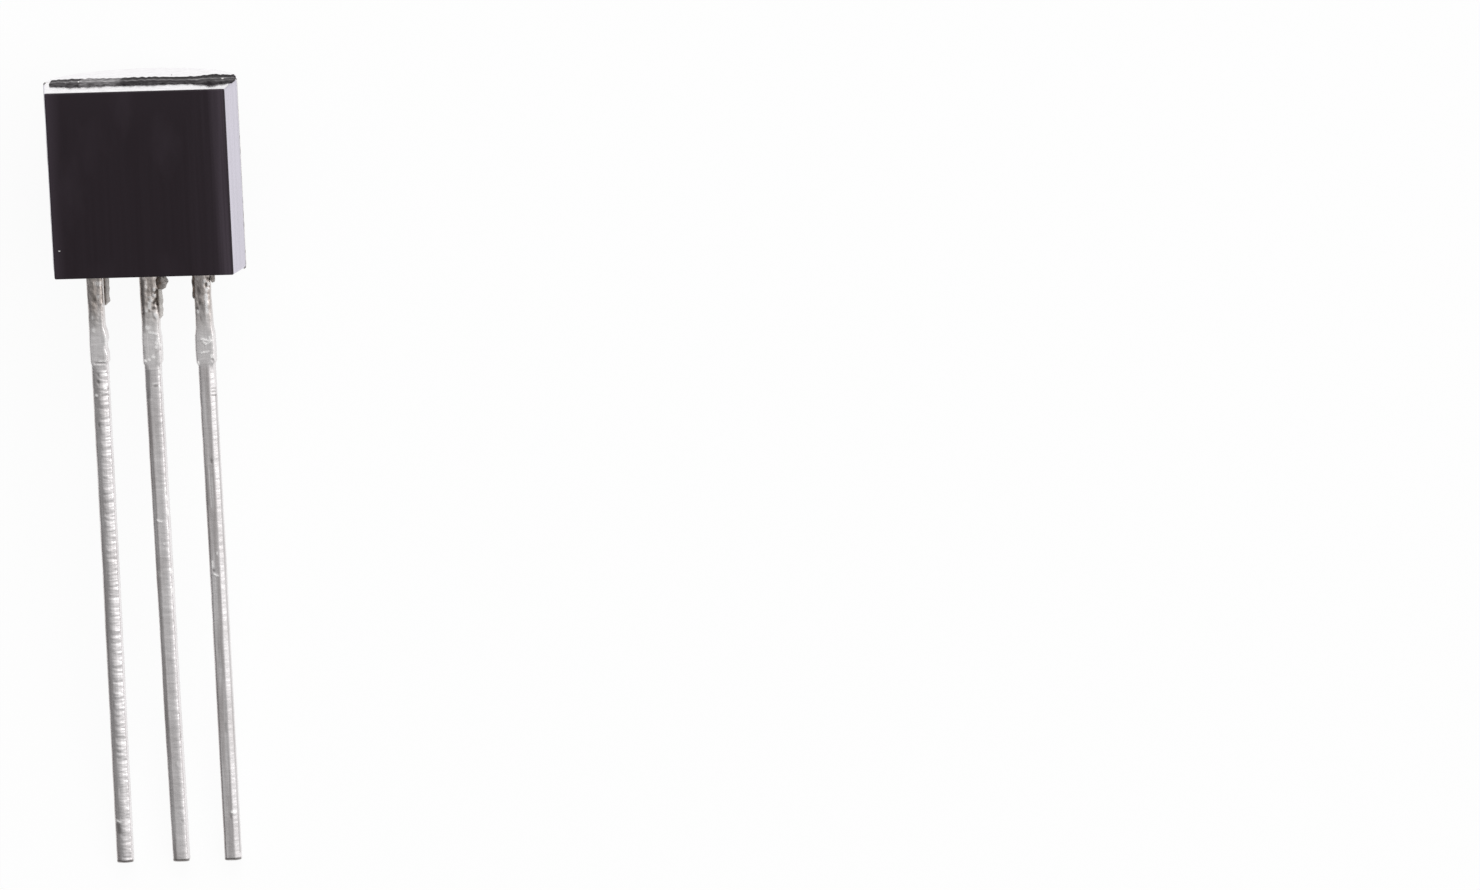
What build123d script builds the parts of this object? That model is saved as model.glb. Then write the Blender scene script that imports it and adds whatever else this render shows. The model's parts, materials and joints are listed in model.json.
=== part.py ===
"""A three-lead small-signal transistor, lying on its round back with its lead tips on the table.

Lengths are millimetres and angles degrees. The package plane is the plane of the leads: its x runs across
the leads, its y from the lead tips to the top of the body, and its z out of the flat face.
"""
from build123d import *
from math import asin, atan2, cos, hypot, radians, sin, tan
import os

# Moulded body
flat_width = 4.10
flat_height = 4.30
front_depth = 1.15
back_depth = 2.20
side_draft = 8.5
front_end_draft = 4.0
back_end_draft = 2.0
corner_radius = 0.06
face_edge_radius = 0.03
back_edge_radius = 0.05
parting_flash_reach = 0.02
parting_flash_thickness = 0.04
ejector_mark_diameter = 1.20
ejector_mark_depth = 0.12

# Rough scar on the closed end, left where the gate broke off: its height at even steps from left to right,
# and the thicker stub of the gate itself
scar_heights = (0.04, 0.07, 0.06, 0.05, 0.06, 0.06, 0.03, 0.03, 0.06, 0.04)
scar_thickness = 0.42
gate_stub_x = 1.68
gate_stub_width = 0.55
gate_stub_height = 0.08
gate_stub_thickness = 0.62

# Lead frame, stamped from one strip and trimmed
lead_pitch = 1.27
lead_width = 0.38
lead_thickness = 0.38
lead_length = 14.20
lead_edge_radius = 0.05
tip_shear = 0.06
neck_width = 0.36
dam_bar_stub_width = 0.46
dam_bar_top = 1.46
dam_bar_height = 0.74
anchor_width = 0.62
anchor_bottom = 0.40
anchor_height = 0.35

# Paddle of the collector lead
paddle_width = 2.05
paddle_height = 1.60
paddle_bottom = 1.85
paddle_overhang = 0.10
lock_hole_diameter = 0.40
lock_hole_inset = 0.45

# Bond posts of the base and emitter leads, each a clear gap away from the paddle
post_gap = 0.32
base_post_width = 0.84
base_post_height = 0.55
emitter_post_width = 0.78
emitter_post_height = 0.90
emitter_post_bottom = 1.90

# Chip and its bonds
die_size = 0.50
die_thickness = 0.20
die_inset = 0.55
die_attach_size = 0.60
die_attach_thickness = 0.03
bond_pad_offset = 0.13
wire_diameter = 0.05
ball_diameter = 0.11
ball_height = 0.05
wire_loop_height = 0.30
wire_bend_radius = 0.12
wire_entry_depth = 0.08

# Resin that bled out of the mould beside the leads: its thickness, and each patch's width and length
bleed_thickness = 0.10
collector_bleed = (0.14, 0.62)
base_bleed_patch = (0.30, 0.24)
base_bleed_strip = (0.07, 0.95)
emitter_bleed = (0.06, 0.48)

# Sizes that follow from the ones above
front_flare = front_depth * tan(radians(side_draft))
front_end_rise = front_depth * tan(radians(front_end_draft))
back_end_fall = back_depth * tan(radians(back_end_draft))
half_width = flat_width / 2 + front_flare
body_top = flat_height + front_end_rise
body_bottom = -front_end_rise
back_top = body_top - back_end_fall
back_bottom = body_bottom + back_end_fall
body_middle = flat_height / 2
half_thickness = lead_thickness / 2
cut_margin = 1.0

# The body and the lead tips share the table: the rounded lower edge of the back touches it, and so do
# the tips
edge_centre_depth = back_depth - back_edge_radius
edge_centre_bottom = back_bottom + back_edge_radius
rest_run = lead_length + edge_centre_bottom
rest_drop = edge_centre_depth - half_thickness
rest_tilt = atan2(rest_drop, rest_run) + asin(back_edge_radius / hypot(rest_run, rest_drop))
rest_height = lead_length * sin(rest_tilt) + half_thickness * cos(rest_tilt)

# The middle of the whole part, tips to back, lies over the origin
edge_centre_top = back_top - back_edge_radius
back_reach = edge_centre_top * cos(rest_tilt) + edge_centre_depth * sin(rest_tilt) + back_edge_radius
tip_reach = lead_length * cos(rest_tilt) + (half_thickness - tip_shear) * sin(rest_tilt)
rest_shift = (tip_reach - back_reach) / 2

package = Plane(
    origin=(0, rest_shift, rest_height),
    x_dir=(1, 0, 0),
    z_dir=(0, -sin(rest_tilt), cos(rest_tilt)),
)
end_view = Plane(
    origin=package.from_local_coords((0, body_middle, 0)),
    x_dir=package.x_dir,
    z_dir=-package.y_dir,
)
side_view = Plane(origin=package.origin, x_dir=package.y_dir, z_dir=package.x_dir)

# Places on the lead frame
collector_x = -lead_pitch
base_x = 0.0
emitter_x = lead_pitch
paddle_left = collector_x - lead_width / 2 - paddle_overhang
paddle_right = paddle_left + paddle_width
paddle_top = paddle_bottom + paddle_height
base_post_top = paddle_bottom - post_gap
base_post_bottom = base_post_top - base_post_height
base_post_left = base_x - base_post_width / 2
base_post_right = base_x + base_post_width / 2
emitter_post_left = paddle_right + post_gap
emitter_post_right = emitter_post_left + emitter_post_width
emitter_post_top = emitter_post_bottom + emitter_post_height
die_x = paddle_right - die_inset
die_y = paddle_bottom + die_inset
paddle_face = package.offset(half_thickness)
die_seat = paddle_face.offset(die_attach_thickness)
die_face = die_seat.offset(die_thickness)


def leg_section(centre_x, from_body):
    """The plane across one leg at a distance below the body's level, looking towards its tip."""
    return Plane(
        origin=package.from_local_coords((centre_x, -from_body, 0)),
        x_dir=package.x_dir,
        z_dir=-package.y_dir,
    )


def leg(centre_x):
    """Adds the leg outside the body with rolled edges: neck, dam-bar stub, shank and sheared tip."""
    dam_bar_bottom = dam_bar_top + dam_bar_height
    stretches = [
        (-body_bottom, dam_bar_top, neck_width),
        (dam_bar_top, dam_bar_bottom, dam_bar_stub_width),
        (dam_bar_bottom, lead_length, lead_width),
    ]
    for start, end, width in stretches:
        with BuildSketch(leg_section(centre_x, start)) as section:
            RectangleRounded(width, lead_thickness, lead_edge_radius)
        extrude(section.sketch, amount=end - start)
    add(shear_cut.part, mode=Mode.SUBTRACT)


def anchor_outline(centre_x, inner_end):
    """Adds the outline of the lead inside the body: its stem and the wider anchor that the resin holds."""
    box_between(centre_x - neck_width / 2, centre_x + neck_width / 2, body_bottom, inner_end)
    box_between(
        centre_x - anchor_width / 2,
        centre_x + anchor_width / 2,
        anchor_bottom,
        anchor_bottom + anchor_height,
    )


def box_between(left, right, bottom, top, mode=Mode.ADD):
    """Adds or takes away a rectangle given by its four sides."""
    with Locations(((left + right) / 2, (bottom + top) / 2)):
        Rectangle(right - left, top - bottom, mode=mode)


# The shear that cropped the three leads took their front edges with it
with BuildPart() as shear_cut:
    with BuildSketch(side_view):
        with BuildLine():
            Polyline(
                (-lead_length, half_thickness - tip_shear),
                (-lead_length, half_thickness),
                (-lead_length + tip_shear, half_thickness),
                close=True,
            )
        make_face()
    extrude(amount=emitter_x + lead_width, both=True)


with BuildPart() as collector_lead:
    with BuildSketch(package):
        anchor_outline(collector_x, paddle_bottom)
        box_between(paddle_left, paddle_right, paddle_bottom, paddle_top)
        with Locations((paddle_left + lock_hole_inset, paddle_top - lock_hole_inset)):
            Circle(lock_hole_diameter / 2, mode=Mode.SUBTRACT)
    extrude(amount=half_thickness, both=True)
    leg(collector_x)

with BuildPart() as base_lead:
    with BuildSketch(package):
        anchor_outline(base_x, base_post_bottom)
        box_between(base_post_left, base_post_right, base_post_bottom, base_post_top)
    extrude(amount=half_thickness, both=True)
    leg(base_x)

with BuildPart() as emitter_lead:
    with BuildSketch(package):
        anchor_outline(emitter_x, emitter_post_bottom)
        box_between(emitter_post_left, emitter_post_right, emitter_post_bottom, emitter_post_top)
    extrude(amount=half_thickness, both=True)
    leg(emitter_x)

with BuildPart() as die_attach:
    with BuildSketch(paddle_face):
        with Locations((die_x, die_y)):
            Rectangle(die_attach_size, die_attach_size)
    extrude(amount=die_attach_thickness)

with BuildPart() as transistor_die:
    with BuildSketch(die_seat):
        with Locations((die_x, die_y)):
            Rectangle(die_size, die_size)
    extrude(amount=die_thickness)


def wire_plane(start_x, start_y, end_x, end_y):
    """The plane that stands on the die face and holds a wire's loop, its x towards the post."""
    start = die_face.from_local_coords((start_x, start_y, 0))
    end = die_face.from_local_coords((end_x, end_y, 0))
    towards = (end - start).normalized()
    return Plane(origin=start, x_dir=towards, z_dir=towards.cross(die_face.z_dir))


def bond_wire(start, end, post):
    """A ball bond on the die, a loop, and the wire's end pressed down on the post's face."""
    loop_plane = wire_plane(*start, *end)
    span = hypot(end[0] - start[0], end[1] - start[1])
    drop = die_attach_thickness + die_thickness + wire_entry_depth
    with BuildPart() as wire:
        with BuildLine(loop_plane) as loop:
            FilletPolyline(
                (0, 0),
                (0, wire_loop_height),
                (span / 2, wire_loop_height),
                (span, -drop),
                radius=wire_bend_radius,
            )
        with BuildSketch(Plane(origin=loop.line @ 0, z_dir=loop.line % 0)):
            Circle(wire_diameter / 2)
        sweep()
        with BuildSketch(Plane(origin=loop_plane.origin, z_dir=die_face.z_dir)) as ball:
            Circle(ball_diameter / 2)
        extrude(ball.sketch, amount=ball_height)
        add(post.part, mode=Mode.SUBTRACT)
        add(transistor_die.part, mode=Mode.SUBTRACT)
    return wire


base_bond_wire = bond_wire(
    (die_x - bond_pad_offset, die_y - bond_pad_offset),
    (base_x, (base_post_bottom + base_post_top) / 2),
    base_lead,
)
emitter_bond_wire = bond_wire(
    (die_x + bond_pad_offset, die_y + bond_pad_offset),
    ((emitter_post_left + emitter_post_right) / 2, (emitter_post_bottom + emitter_post_top) / 2),
    emitter_lead,
)

inner_pieces = [
    collector_lead,
    base_lead,
    emitter_lead,
    die_attach,
    transistor_die,
    base_bond_wire,
    emitter_bond_wire,
]

# The front half of the mould: flat face, drafted flanks and ends, rounded corners
with BuildPart() as front_half:
    with BuildSketch(end_view):
        with BuildLine():
            Polyline(
                (-half_width, 0),
                (-flat_width / 2, front_depth),
                (flat_width / 2, front_depth),
                (half_width, 0),
                close=True,
            )
        make_face()
    extrude(amount=body_middle + cut_margin, both=True)
    with BuildSketch(side_view):
        with BuildLine():
            Polyline(
                (body_bottom, 0),
                (0, front_depth),
                (flat_height, front_depth),
                (body_top, 0),
                close=True,
            )
        make_face()
    extrude(amount=half_width + cut_margin, both=True, mode=Mode.INTERSECT)
    across_depth = Axis(package.origin, package.z_dir)
    corners = front_half.edges().group_by(across_depth)[1]
    fillet(corners, corner_radius)
    face_rim = front_half.edges().group_by(across_depth)[-1]
    fillet(face_rim, face_edge_radius)

# The back half: a half-round D whose ends are drafted as well
with BuildPart() as back_half:
    with BuildSketch(end_view):
        with BuildLine():
            ThreePointArc((half_width, 0), (0, -back_depth), (-half_width, 0))
            Line((-half_width, 0), (half_width, 0))
        make_face()
    extrude(amount=body_middle + cut_margin, both=True)
    with BuildSketch(side_view):
        with BuildLine():
            Polyline(
                (body_bottom, 0),
                (back_bottom, -back_depth),
                (back_top, -back_depth),
                (body_top, 0),
                close=True,
            )
        make_face()
    extrude(amount=half_width + cut_margin, both=True, mode=Mode.INTERSECT)
    end_rims = back_half.edges().filter_by(GeomType.LINE, reverse=True)
    fillet(end_rims, back_edge_radius)

with BuildPart() as moulded_body:
    add(front_half.part)
    add(back_half.part)
    # Flash where the two halves of the mould meet
    with BuildSketch(package):
        with Locations((0, body_middle)):
            Rectangle(
                2 * (half_width + parting_flash_reach),
                body_top - body_bottom + 2 * parting_flash_reach,
            )
    extrude(amount=parting_flash_thickness / 2, both=True)
    # Scar and stub of the broken gate
    with BuildSketch(package):
        with BuildLine():
            step = 2 * half_width / (len(scar_heights) - 1)
            crest = [(i * step - half_width, body_top + height) for i, height in enumerate(scar_heights)]
            Polyline((-half_width, body_middle), *crest, (half_width, body_middle), close=True)
        make_face()
        box_between(-half_width, half_width, body_middle, flat_height, mode=Mode.SUBTRACT)
    extrude(amount=scar_thickness)
    with BuildSketch(package):
        box_between(
            gate_stub_x - gate_stub_width / 2,
            gate_stub_x + gate_stub_width / 2,
            flat_height,
            body_top + gate_stub_height,
        )
    extrude(amount=gate_stub_thickness)
    # Resin that bled along the leads
    with BuildSketch(package):
        collector_side = collector_x + neck_width / 2
        base_side = base_x + neck_width / 2
        emitter_side = emitter_x - neck_width / 2
        bleeds = [
            (collector_x, collector_side + collector_bleed[0], collector_bleed[1]),
            (base_x, base_side + base_bleed_patch[0], base_bleed_patch[1]),
            (base_x, base_side + base_bleed_strip[0], base_bleed_strip[1]),
            (emitter_side - emitter_bleed[0], emitter_x, emitter_bleed[1]),
        ]
        for left, right, length in bleeds:
            box_between(left, right, body_bottom - length, body_bottom)
    extrude(amount=bleed_thickness / 2, both=True)
    # Round mark of the ejector pin in the crown of the back
    with BuildSketch(package.offset(ejector_mark_depth - back_depth)):
        with Locations((0, body_middle)):
            Circle(ejector_mark_diameter / 2)
    extrude(amount=-ejector_mark_depth - cut_margin, mode=Mode.SUBTRACT)
    # The resin flowed round everything inside
    for piece in inner_pieces:
        add(piece.part, mode=Mode.SUBTRACT)

moulded_body.part.label = "moulded_body"
collector_lead.part.label = "collector_lead"
base_lead.part.label = "base_lead"
emitter_lead.part.label = "emitter_lead"
die_attach.part.label = "die_attach"
transistor_die.part.label = "transistor_die"
base_bond_wire.part.label = "base_bond_wire"
emitter_bond_wire.part.label = "emitter_bond_wire"

os.makedirs("parts", exist_ok=True)
for piece in [moulded_body, *inner_pieces]:
    export_step(piece.part, f"parts/{piece.part.label}.step")
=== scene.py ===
"""Dresses the three-lead transistor that lies on its round back with its lead tips on the table.

Shapes are written in package millimetres: x runs across the leads, y from the lead tips to the top of the
body, and z out of the flat face, with the plane of the leads at z = 0. The package matrix places the points
of each piece, and the finishes read the same millimetres back through it.
"""

import json
import logging
import math
from collections.abc import Callable
from dataclasses import dataclass, field, replace
from enum import Enum

import bmesh
import bpy
from mathutils import Matrix, Vector, noise


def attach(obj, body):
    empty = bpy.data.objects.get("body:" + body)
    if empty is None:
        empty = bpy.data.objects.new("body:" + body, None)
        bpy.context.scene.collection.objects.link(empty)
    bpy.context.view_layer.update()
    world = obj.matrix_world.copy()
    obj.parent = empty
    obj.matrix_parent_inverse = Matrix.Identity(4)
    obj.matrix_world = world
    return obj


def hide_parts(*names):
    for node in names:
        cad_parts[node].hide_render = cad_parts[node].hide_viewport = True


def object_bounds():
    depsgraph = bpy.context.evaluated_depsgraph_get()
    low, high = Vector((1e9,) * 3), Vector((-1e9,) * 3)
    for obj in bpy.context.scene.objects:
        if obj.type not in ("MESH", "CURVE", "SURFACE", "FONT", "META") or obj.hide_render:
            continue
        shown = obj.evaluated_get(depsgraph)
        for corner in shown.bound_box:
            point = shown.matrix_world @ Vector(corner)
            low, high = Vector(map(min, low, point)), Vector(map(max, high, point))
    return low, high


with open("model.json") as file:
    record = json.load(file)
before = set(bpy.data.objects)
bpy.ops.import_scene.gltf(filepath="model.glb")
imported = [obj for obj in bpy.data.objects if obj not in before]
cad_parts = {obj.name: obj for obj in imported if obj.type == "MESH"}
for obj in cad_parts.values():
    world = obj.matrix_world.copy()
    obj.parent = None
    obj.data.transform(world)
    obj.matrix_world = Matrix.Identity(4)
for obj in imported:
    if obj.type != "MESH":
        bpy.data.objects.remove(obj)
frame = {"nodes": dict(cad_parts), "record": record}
cad_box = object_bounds()

MM = 0.001
log = logging.getLogger("transistor")

Colour = tuple[float, float, float]
Triple = tuple[float, float, float]
Flat = tuple[float, float]
Box = tuple[float, float, float, float]
Material = bpy.types.Material
Piece = bpy.types.Object
Socket = bpy.types.NodeSocket
Pick = Enum | Callable[[Vector], Enum]

WHITE: Colour = (1.0, 1.0, 1.0)
EVEN: Triple = (1.0, 1.0, 1.0)
MOST_OF_NOISE: Flat = (0.3, 0.7)


class ResinSkin(Enum):
    """The skins that one moulding shows, by where the mould and the trimming left them."""

    FROSTED = 0
    POLISHED = 1
    TORN = 2
    BLED = 3
    CHIPPED = 4
    END_WALL = 5


class TinSkin(Enum):
    """The skins of a plated lead."""

    PLATED = 0
    SHEARED = 1


class LeadSeat(Enum):
    """The three leads by the place that each takes below the flat face, left to right."""

    COLLECTOR = "collector_lead"
    BASE = "base_lead"
    EMITTER = "emitter_lead"


class Axis(Enum):
    """The package axes that a finish reads."""

    ACROSS = "X"
    ALONG = "Y"


class Join(Enum):
    """How two values become one."""

    SUM = "ADD"
    PRODUCT = "MULTIPLY"
    LARGER = "MAXIMUM"


class CellMeasure(Enum):
    """What a pattern of crystal cells measures the distance to."""

    TO_POINT = "F1"
    TO_EDGE = "DISTANCE_TO_EDGE"


@dataclass
class PackageSeat:
    """Where the package lies: its flat face is where the record's mount says."""

    face_height: float = 1.15
    face_middle: float = 2.15

    def matrix(self) -> Matrix:
        """Builds the package matrix from the place and direction of the flat face.

        Returns:
            The matrix from package axes to the frame, both in metres.
        """
        mount = next(m for m in frame["record"]["mounts"] if m["name"] == "flat_face")
        outward = Vector(mount["axis"]).normalized()
        across = Vector((1, 0, 0))
        upward = outward.cross(across)
        origin = Vector(mount["pos_m"]) - outward * self.face_height * MM - upward * self.face_middle * MM
        turn = Matrix((across, upward, outward)).transposed()
        return Matrix.Translation(origin) @ turn.to_4x4()


package = PackageSeat().matrix()


def clamp(value: float, low: float = 0.0, high: float = 1.0) -> float:
    """Holds a value between two others."""
    return max(low, min(high, value))


def wander(x: float, y: float, z: float, size: float) -> float:
    """Smooth noise from about -1 to 1 whose bumps are about the given size, in millimetres."""
    return noise.noise(Vector((x / size, y / size, z / size)))


def ease(value: float, start: float, end: float) -> float:
    """A smooth step from 0 at start to 1 at end."""
    share = clamp((value - start) / (end - start))
    return share * share * (3 - 2 * share)


def along(value: float, stops: list[Flat]) -> float:
    """Reads a value from a list of (place, value) stops, straight between them.

    Args:
        value: the place to read at.
        stops: the stops, with their places in rising order.

    Returns:
        The value there, held level beyond both ends.
    """
    if value <= stops[0][0]:
        return stops[0][1]
    for (low, first), (high, last) in zip(stops, stops[1:]):
        if value <= high:
            return first + (last - first) * (value - low) / (high - low)
    return stops[-1][1]


def set_down(name: str, data: bpy.types.ID) -> bpy.types.Object:
    """Makes an object and puts it in the scene.

    Args:
        name: what it is called.
        data: its mesh, curve, lamp or camera.

    Returns:
        The object.
    """
    made = bpy.data.objects.new(name, data)
    bpy.context.scene.collection.objects.link(made)
    return made


class Graph:
    """A node tree, with short ways to add nodes and to join them."""

    def __init__(self, tree: bpy.types.NodeTree) -> None:
        """Takes the tree over."""
        self.tree = tree

    def feed(self, socket: Socket, value: object) -> None:
        """Gives an input what it needs.

        Args:
            socket: the input.
            value: an output to join it to, or the plain number, vector or colour to set on it.
        """
        if isinstance(value, Socket):
            self.tree.links.new(value, socket)
        else:
            socket.default_value = (*value, 1.0) if socket.type == "RGBA" else value

    def node(self, kind: str, feeds: dict[str | int, object] | None = None, **settings: object
             ) -> bpy.types.Node:
        """Adds a node.

        Args:
            kind: its type.
            feeds: what its inputs get, by their names or numbers.
            settings: what is set on the node itself.

        Returns:
            The node.
        """
        made = self.tree.nodes.new(kind)
        for key, value in settings.items():
            setattr(made, key, value)
        for key, value in (feeds or {}).items():
            self.feed(made.inputs[key], value)
        return made

    def spread(self, value: Socket, low: float, high: float, first: float = 0.0, last: float = 1.0) -> Socket:
        """Maps low..high of a value to first..last, held level beyond."""
        feeds = {"Value": value, "From Min": low, "From Max": high, "To Min": first, "To Max": last}
        return self.node("ShaderNodeMapRange", feeds, clamp=True).outputs["Result"]

    def join(self, how: Join, first: Socket, second: Socket | float) -> Socket:
        """Makes one value of two."""
        return self.node("ShaderNodeMath", {0: first, 1: second}, operation=how.value).outputs["Value"]

    def times(self, first: Socket, second: Socket | float) -> Socket:
        """The product of two values."""
        return self.join(Join.PRODUCT, first, second)

    def blend(self, share: Socket, first: Socket | Colour, second: Socket | Colour) -> Socket:
        """Mixes two colours by a share from 0 to 1."""
        return self.node("ShaderNodeMix", {0: share, 6: first, 7: second}, data_type="RGBA").outputs[2]


class Weave(Graph):
    """The node graph of one finish, read in millimetres on the piece."""

    def __init__(self, name: str) -> None:
        """Starts a material with its surface shader and its coordinates.

        Args:
            name: what the material is called.
        """
        self.material = bpy.data.materials.new(name)
        self.material.use_nodes = True
        super().__init__(self.material.node_tree)
        self.surface = self.tree.nodes["Principled BSDF"]
        self.output = self.tree.nodes["Material Output"]
        laid = {
            "Vector": self.node("ShaderNodeTexCoord").outputs["Object"],
            "Location": package.translation,
            "Rotation": package.to_euler(),
            "Scale": (MM, MM, MM),
        }
        self.place = self.node("ShaderNodeMapping", laid, vector_type="TEXTURE").outputs["Vector"]

    def fix(self, **values: object) -> None:
        """Feeds the surface shader, by socket name with _ for each space."""
        for key, value in values.items():
            self.feed(self.surface.inputs[key.replace("_", " ")], value)

    def grain(self, scale: float, detail: float = 4.0, stretch: Triple = EVEN) -> Socket:
        """Cloudy noise from 0 to 1.

        Args:
            scale: bumps to a millimetre.
            detail: how many finer layers lie in it.
            stretch: what each axis is multiplied by, so that the noise runs long along a small one.

        Returns:
            The noise value.
        """
        laid = self.node("ShaderNodeVectorMath", {0: self.place, 1: stretch}, operation="MULTIPLY")
        feeds = {"Scale": scale, "Detail": detail, "Vector": laid.outputs["Vector"]}
        return self.node("ShaderNodeTexNoise", feeds).outputs["Fac"]

    def cells(self, scale: float, measure: CellMeasure = CellMeasure.TO_POINT) -> Socket:
        """A distance in a pattern of crystal cells, with so many cells to a millimetre."""
        feeds = {"Scale": scale, "Vector": self.place}
        return self.node("ShaderNodeTexVoronoi", feeds, feature=measure.value).outputs["Distance"]

    def mark(self, name: str) -> Socket:
        """Reads a number that the piece's points carry."""
        return self.node("ShaderNodeAttribute", attribute_name=name).outputs["Fac"]

    def reach(self, axis: Axis) -> Socket:
        """One package coordinate in millimetres."""
        return self.node("ShaderNodeSeparateXYZ", {0: self.place}).outputs[axis.value]

    def bump(self, height: Socket, depth: float, below: Socket | None = None) -> Socket:
        """Raises the surface by a height from 0 to 1 times a depth in millimetres.

        Args:
            height: the height value.
            depth: the full height in millimetres.
            below: the normal of a coarser bump that this one lies on.

        Returns:
            The new normal, already joined to the surface shader.
        """
        feeds = {"Strength": 1.0, "Distance": depth * MM, "Height": height}
        if below is not None:
            feeds["Normal"] = below
        normal = self.node("ShaderNodeBump", feeds).outputs["Normal"]
        self.fix(Normal=normal)
        return normal

    def veil(self, share: Socket, shader: Socket) -> None:
        """Lays a share of another shader over the surface shader."""
        mixed = self.node("ShaderNodeMixShader", {0: share, 1: self.surface.outputs["BSDF"], 2: shader})
        self.feed(self.output.inputs["Surface"], mixed.outputs["Shader"])


@dataclass(frozen=True)
class Finish:
    """A surface of the part or of the table."""

    name: str
    colour: Colour

    def material(self) -> Material:
        """Makes the material.

        Returns:
            The material with the finish laid on it.
        """
        weave = Weave(self.name)
        self.lay(weave)
        return weave.material

    def lay(self, weave: Weave) -> None:
        """Lays the finish, which each kind does in its own way."""
        raise NotImplementedError


@dataclass(frozen=True)
class ResinFinish(Finish):
    """Black moulding compound: mineral-filled, with a fine grain, flow marks and a gloss at a flat angle."""

    flow_and_sheen_colour: Colour
    roughness: float
    grain_size: float
    grain_depth: float
    gloss: float
    glaze: float
    glaze_slants: Flat
    glaze_tint: Colour
    # Spans across and up of the face's painted sheen and of its lighter top.
    strip_start: Flat = (1.60, 1.93)
    strip_stop: Flat = (2.0, 2.03)
    right_fade: Flat = (0.5, 1.75)
    left_fade: Flat = (-2.04, -1.7)
    upper_fade: Flat = (2.4, 4.1)
    gloss_change: float = 0.06

    def lay(self, weave: Weave) -> None:
        """Lays colour by flow marks and painted sheen on the face's right side and left rim, lighter towards
        the top, grain as bump and as changes of gloss.

        Args:
            weave: the graph it goes into.
        """
        flow = weave.grain(1.1, 5.0, (1.0, 0.35, 1.0))
        drawn = weave.grain(11.0, 2.0, (1.0, 0.015, 0.2))
        across = weave.reach(Axis.ACROSS)
        # Painted sheen: a lighter strip by the face's right edge and a lighter right side, both streaked, and
        # a lighter left rim; the face is also lighter towards the top.
        strip = weave.times(weave.spread(across, *self.strip_start, 0.1),
                            weave.spread(across, *self.strip_stop, 1.0, 0.1))
        right = weave.join(Join.LARGER, strip, weave.spread(across, *self.right_fade, 0.0, 0.28))
        painted_streaks = weave.times(right, weave.spread(drawn, 0.35, 0.62, 0.55))
        upper = weave.spread(weave.reach(Axis.ALONG), *self.upper_fade, 0.0, 0.14)
        edges = weave.join(Join.SUM, weave.spread(across, *self.left_fade, 0.5, 0.0), upper)
        painted_sheen = weave.join(Join.LARGER, painted_streaks, edges)
        tone = weave.join(Join.LARGER, weave.spread(flow, 0.42, 0.75, 0.0, 0.3), painted_sheen)
        specks = weave.grain(1 / self.grain_size, 3.0)
        low, high = self.roughness - self.gloss_change, self.roughness + self.gloss_change
        weave.fix(Base_Color=weave.blend(tone, self.colour, self.flow_and_sheen_colour),
                  Roughness=weave.spread(specks, *MOST_OF_NOISE, low, high),
                  Specular_IOR_Level=self.gloss)
        swell = weave.bump(flow, self.grain_depth * 2)
        self.lay_glaze(weave, weave.bump(specks, self.grain_depth, swell))

    def lay_glaze(self, weave: Weave, normal: Socket) -> None:
        """Lays the gloss that only shows at a flat angle, as on a polished mould's walls.

        Args:
            weave: the graph it goes into.
            normal: the surface normal with its bumps.
        """
        slant = weave.node("ShaderNodeLayerWeight").outputs["Facing"]
        feeds = {"Color": self.glaze_tint, "Roughness": self.roughness, "Normal": normal}
        gloss = weave.node("ShaderNodeBsdfAnisotropic", feeds).outputs["BSDF"]
        streaks = weave.spread(weave.grain(8.0, 3.0, (0.6, 0.03, 1.0)), 0.38, 0.62, 0.88)
        weave.veil(weave.times(weave.spread(slant, *self.glaze_slants, 0.0, self.glaze), streaks), gloss)


@dataclass(frozen=True)
class TornResinFinish(Finish):
    """Resin broken off at the gate: a rough dark fracture with paler, shell-shaped spots."""

    pale: Colour
    shell_depth: float = 0.012
    lump_depth: float = 0.010

    def lay(self, weave: Weave) -> None:
        """Lays the fracture's colour, gloss and relief.

        Args:
            weave: the graph it goes into.
        """
        lumps = weave.grain(15.0, 6.0, (0.45, 1.0, 1.0))
        pale = weave.times(weave.mark("pale"), weave.spread(lumps, 0.32, 0.6, 0.25))
        weave.fix(Base_Color=weave.blend(pale, self.colour, self.pale),
                  Roughness=weave.spread(lumps, *MOST_OF_NOISE, 0.65, 0.95),
                  Specular_IOR_Level=0.06)
        weave.bump(lumps, self.lump_depth, weave.bump(weave.cells(9.0), self.shell_depth))


@dataclass(frozen=True)
class BledResinFinish(Finish):
    """Resin that crept out beside the leads and set as a thin skin: brown where thick, grey where thin."""

    thin: Colour
    clot_shade: float = 0.3
    clot_depth: float = 0.012

    def lay(self, weave: Weave) -> None:
        """Lays the skin's brown body, its pale thin parts and its wet-looking surface.

        Args:
            weave: the graph it goes into.
        """
        clots = weave.grain(9.0)
        pale = weave.times(weave.mark("pale"), weave.spread(clots, 0.25, 0.5, 0.7))
        shade = tuple(part * self.clot_shade for part in self.colour)
        body = weave.blend(weave.spread(clots, 0.4, 0.65), shade, self.colour)
        weave.fix(Base_Color=weave.blend(pale, body, self.thin),
                  Roughness=weave.spread(clots, *MOST_OF_NOISE, 0.2, 0.5),
                  Coat_Weight=0.25, Coat_Roughness=0.15)
        weave.bump(clots, self.clot_depth)


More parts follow.
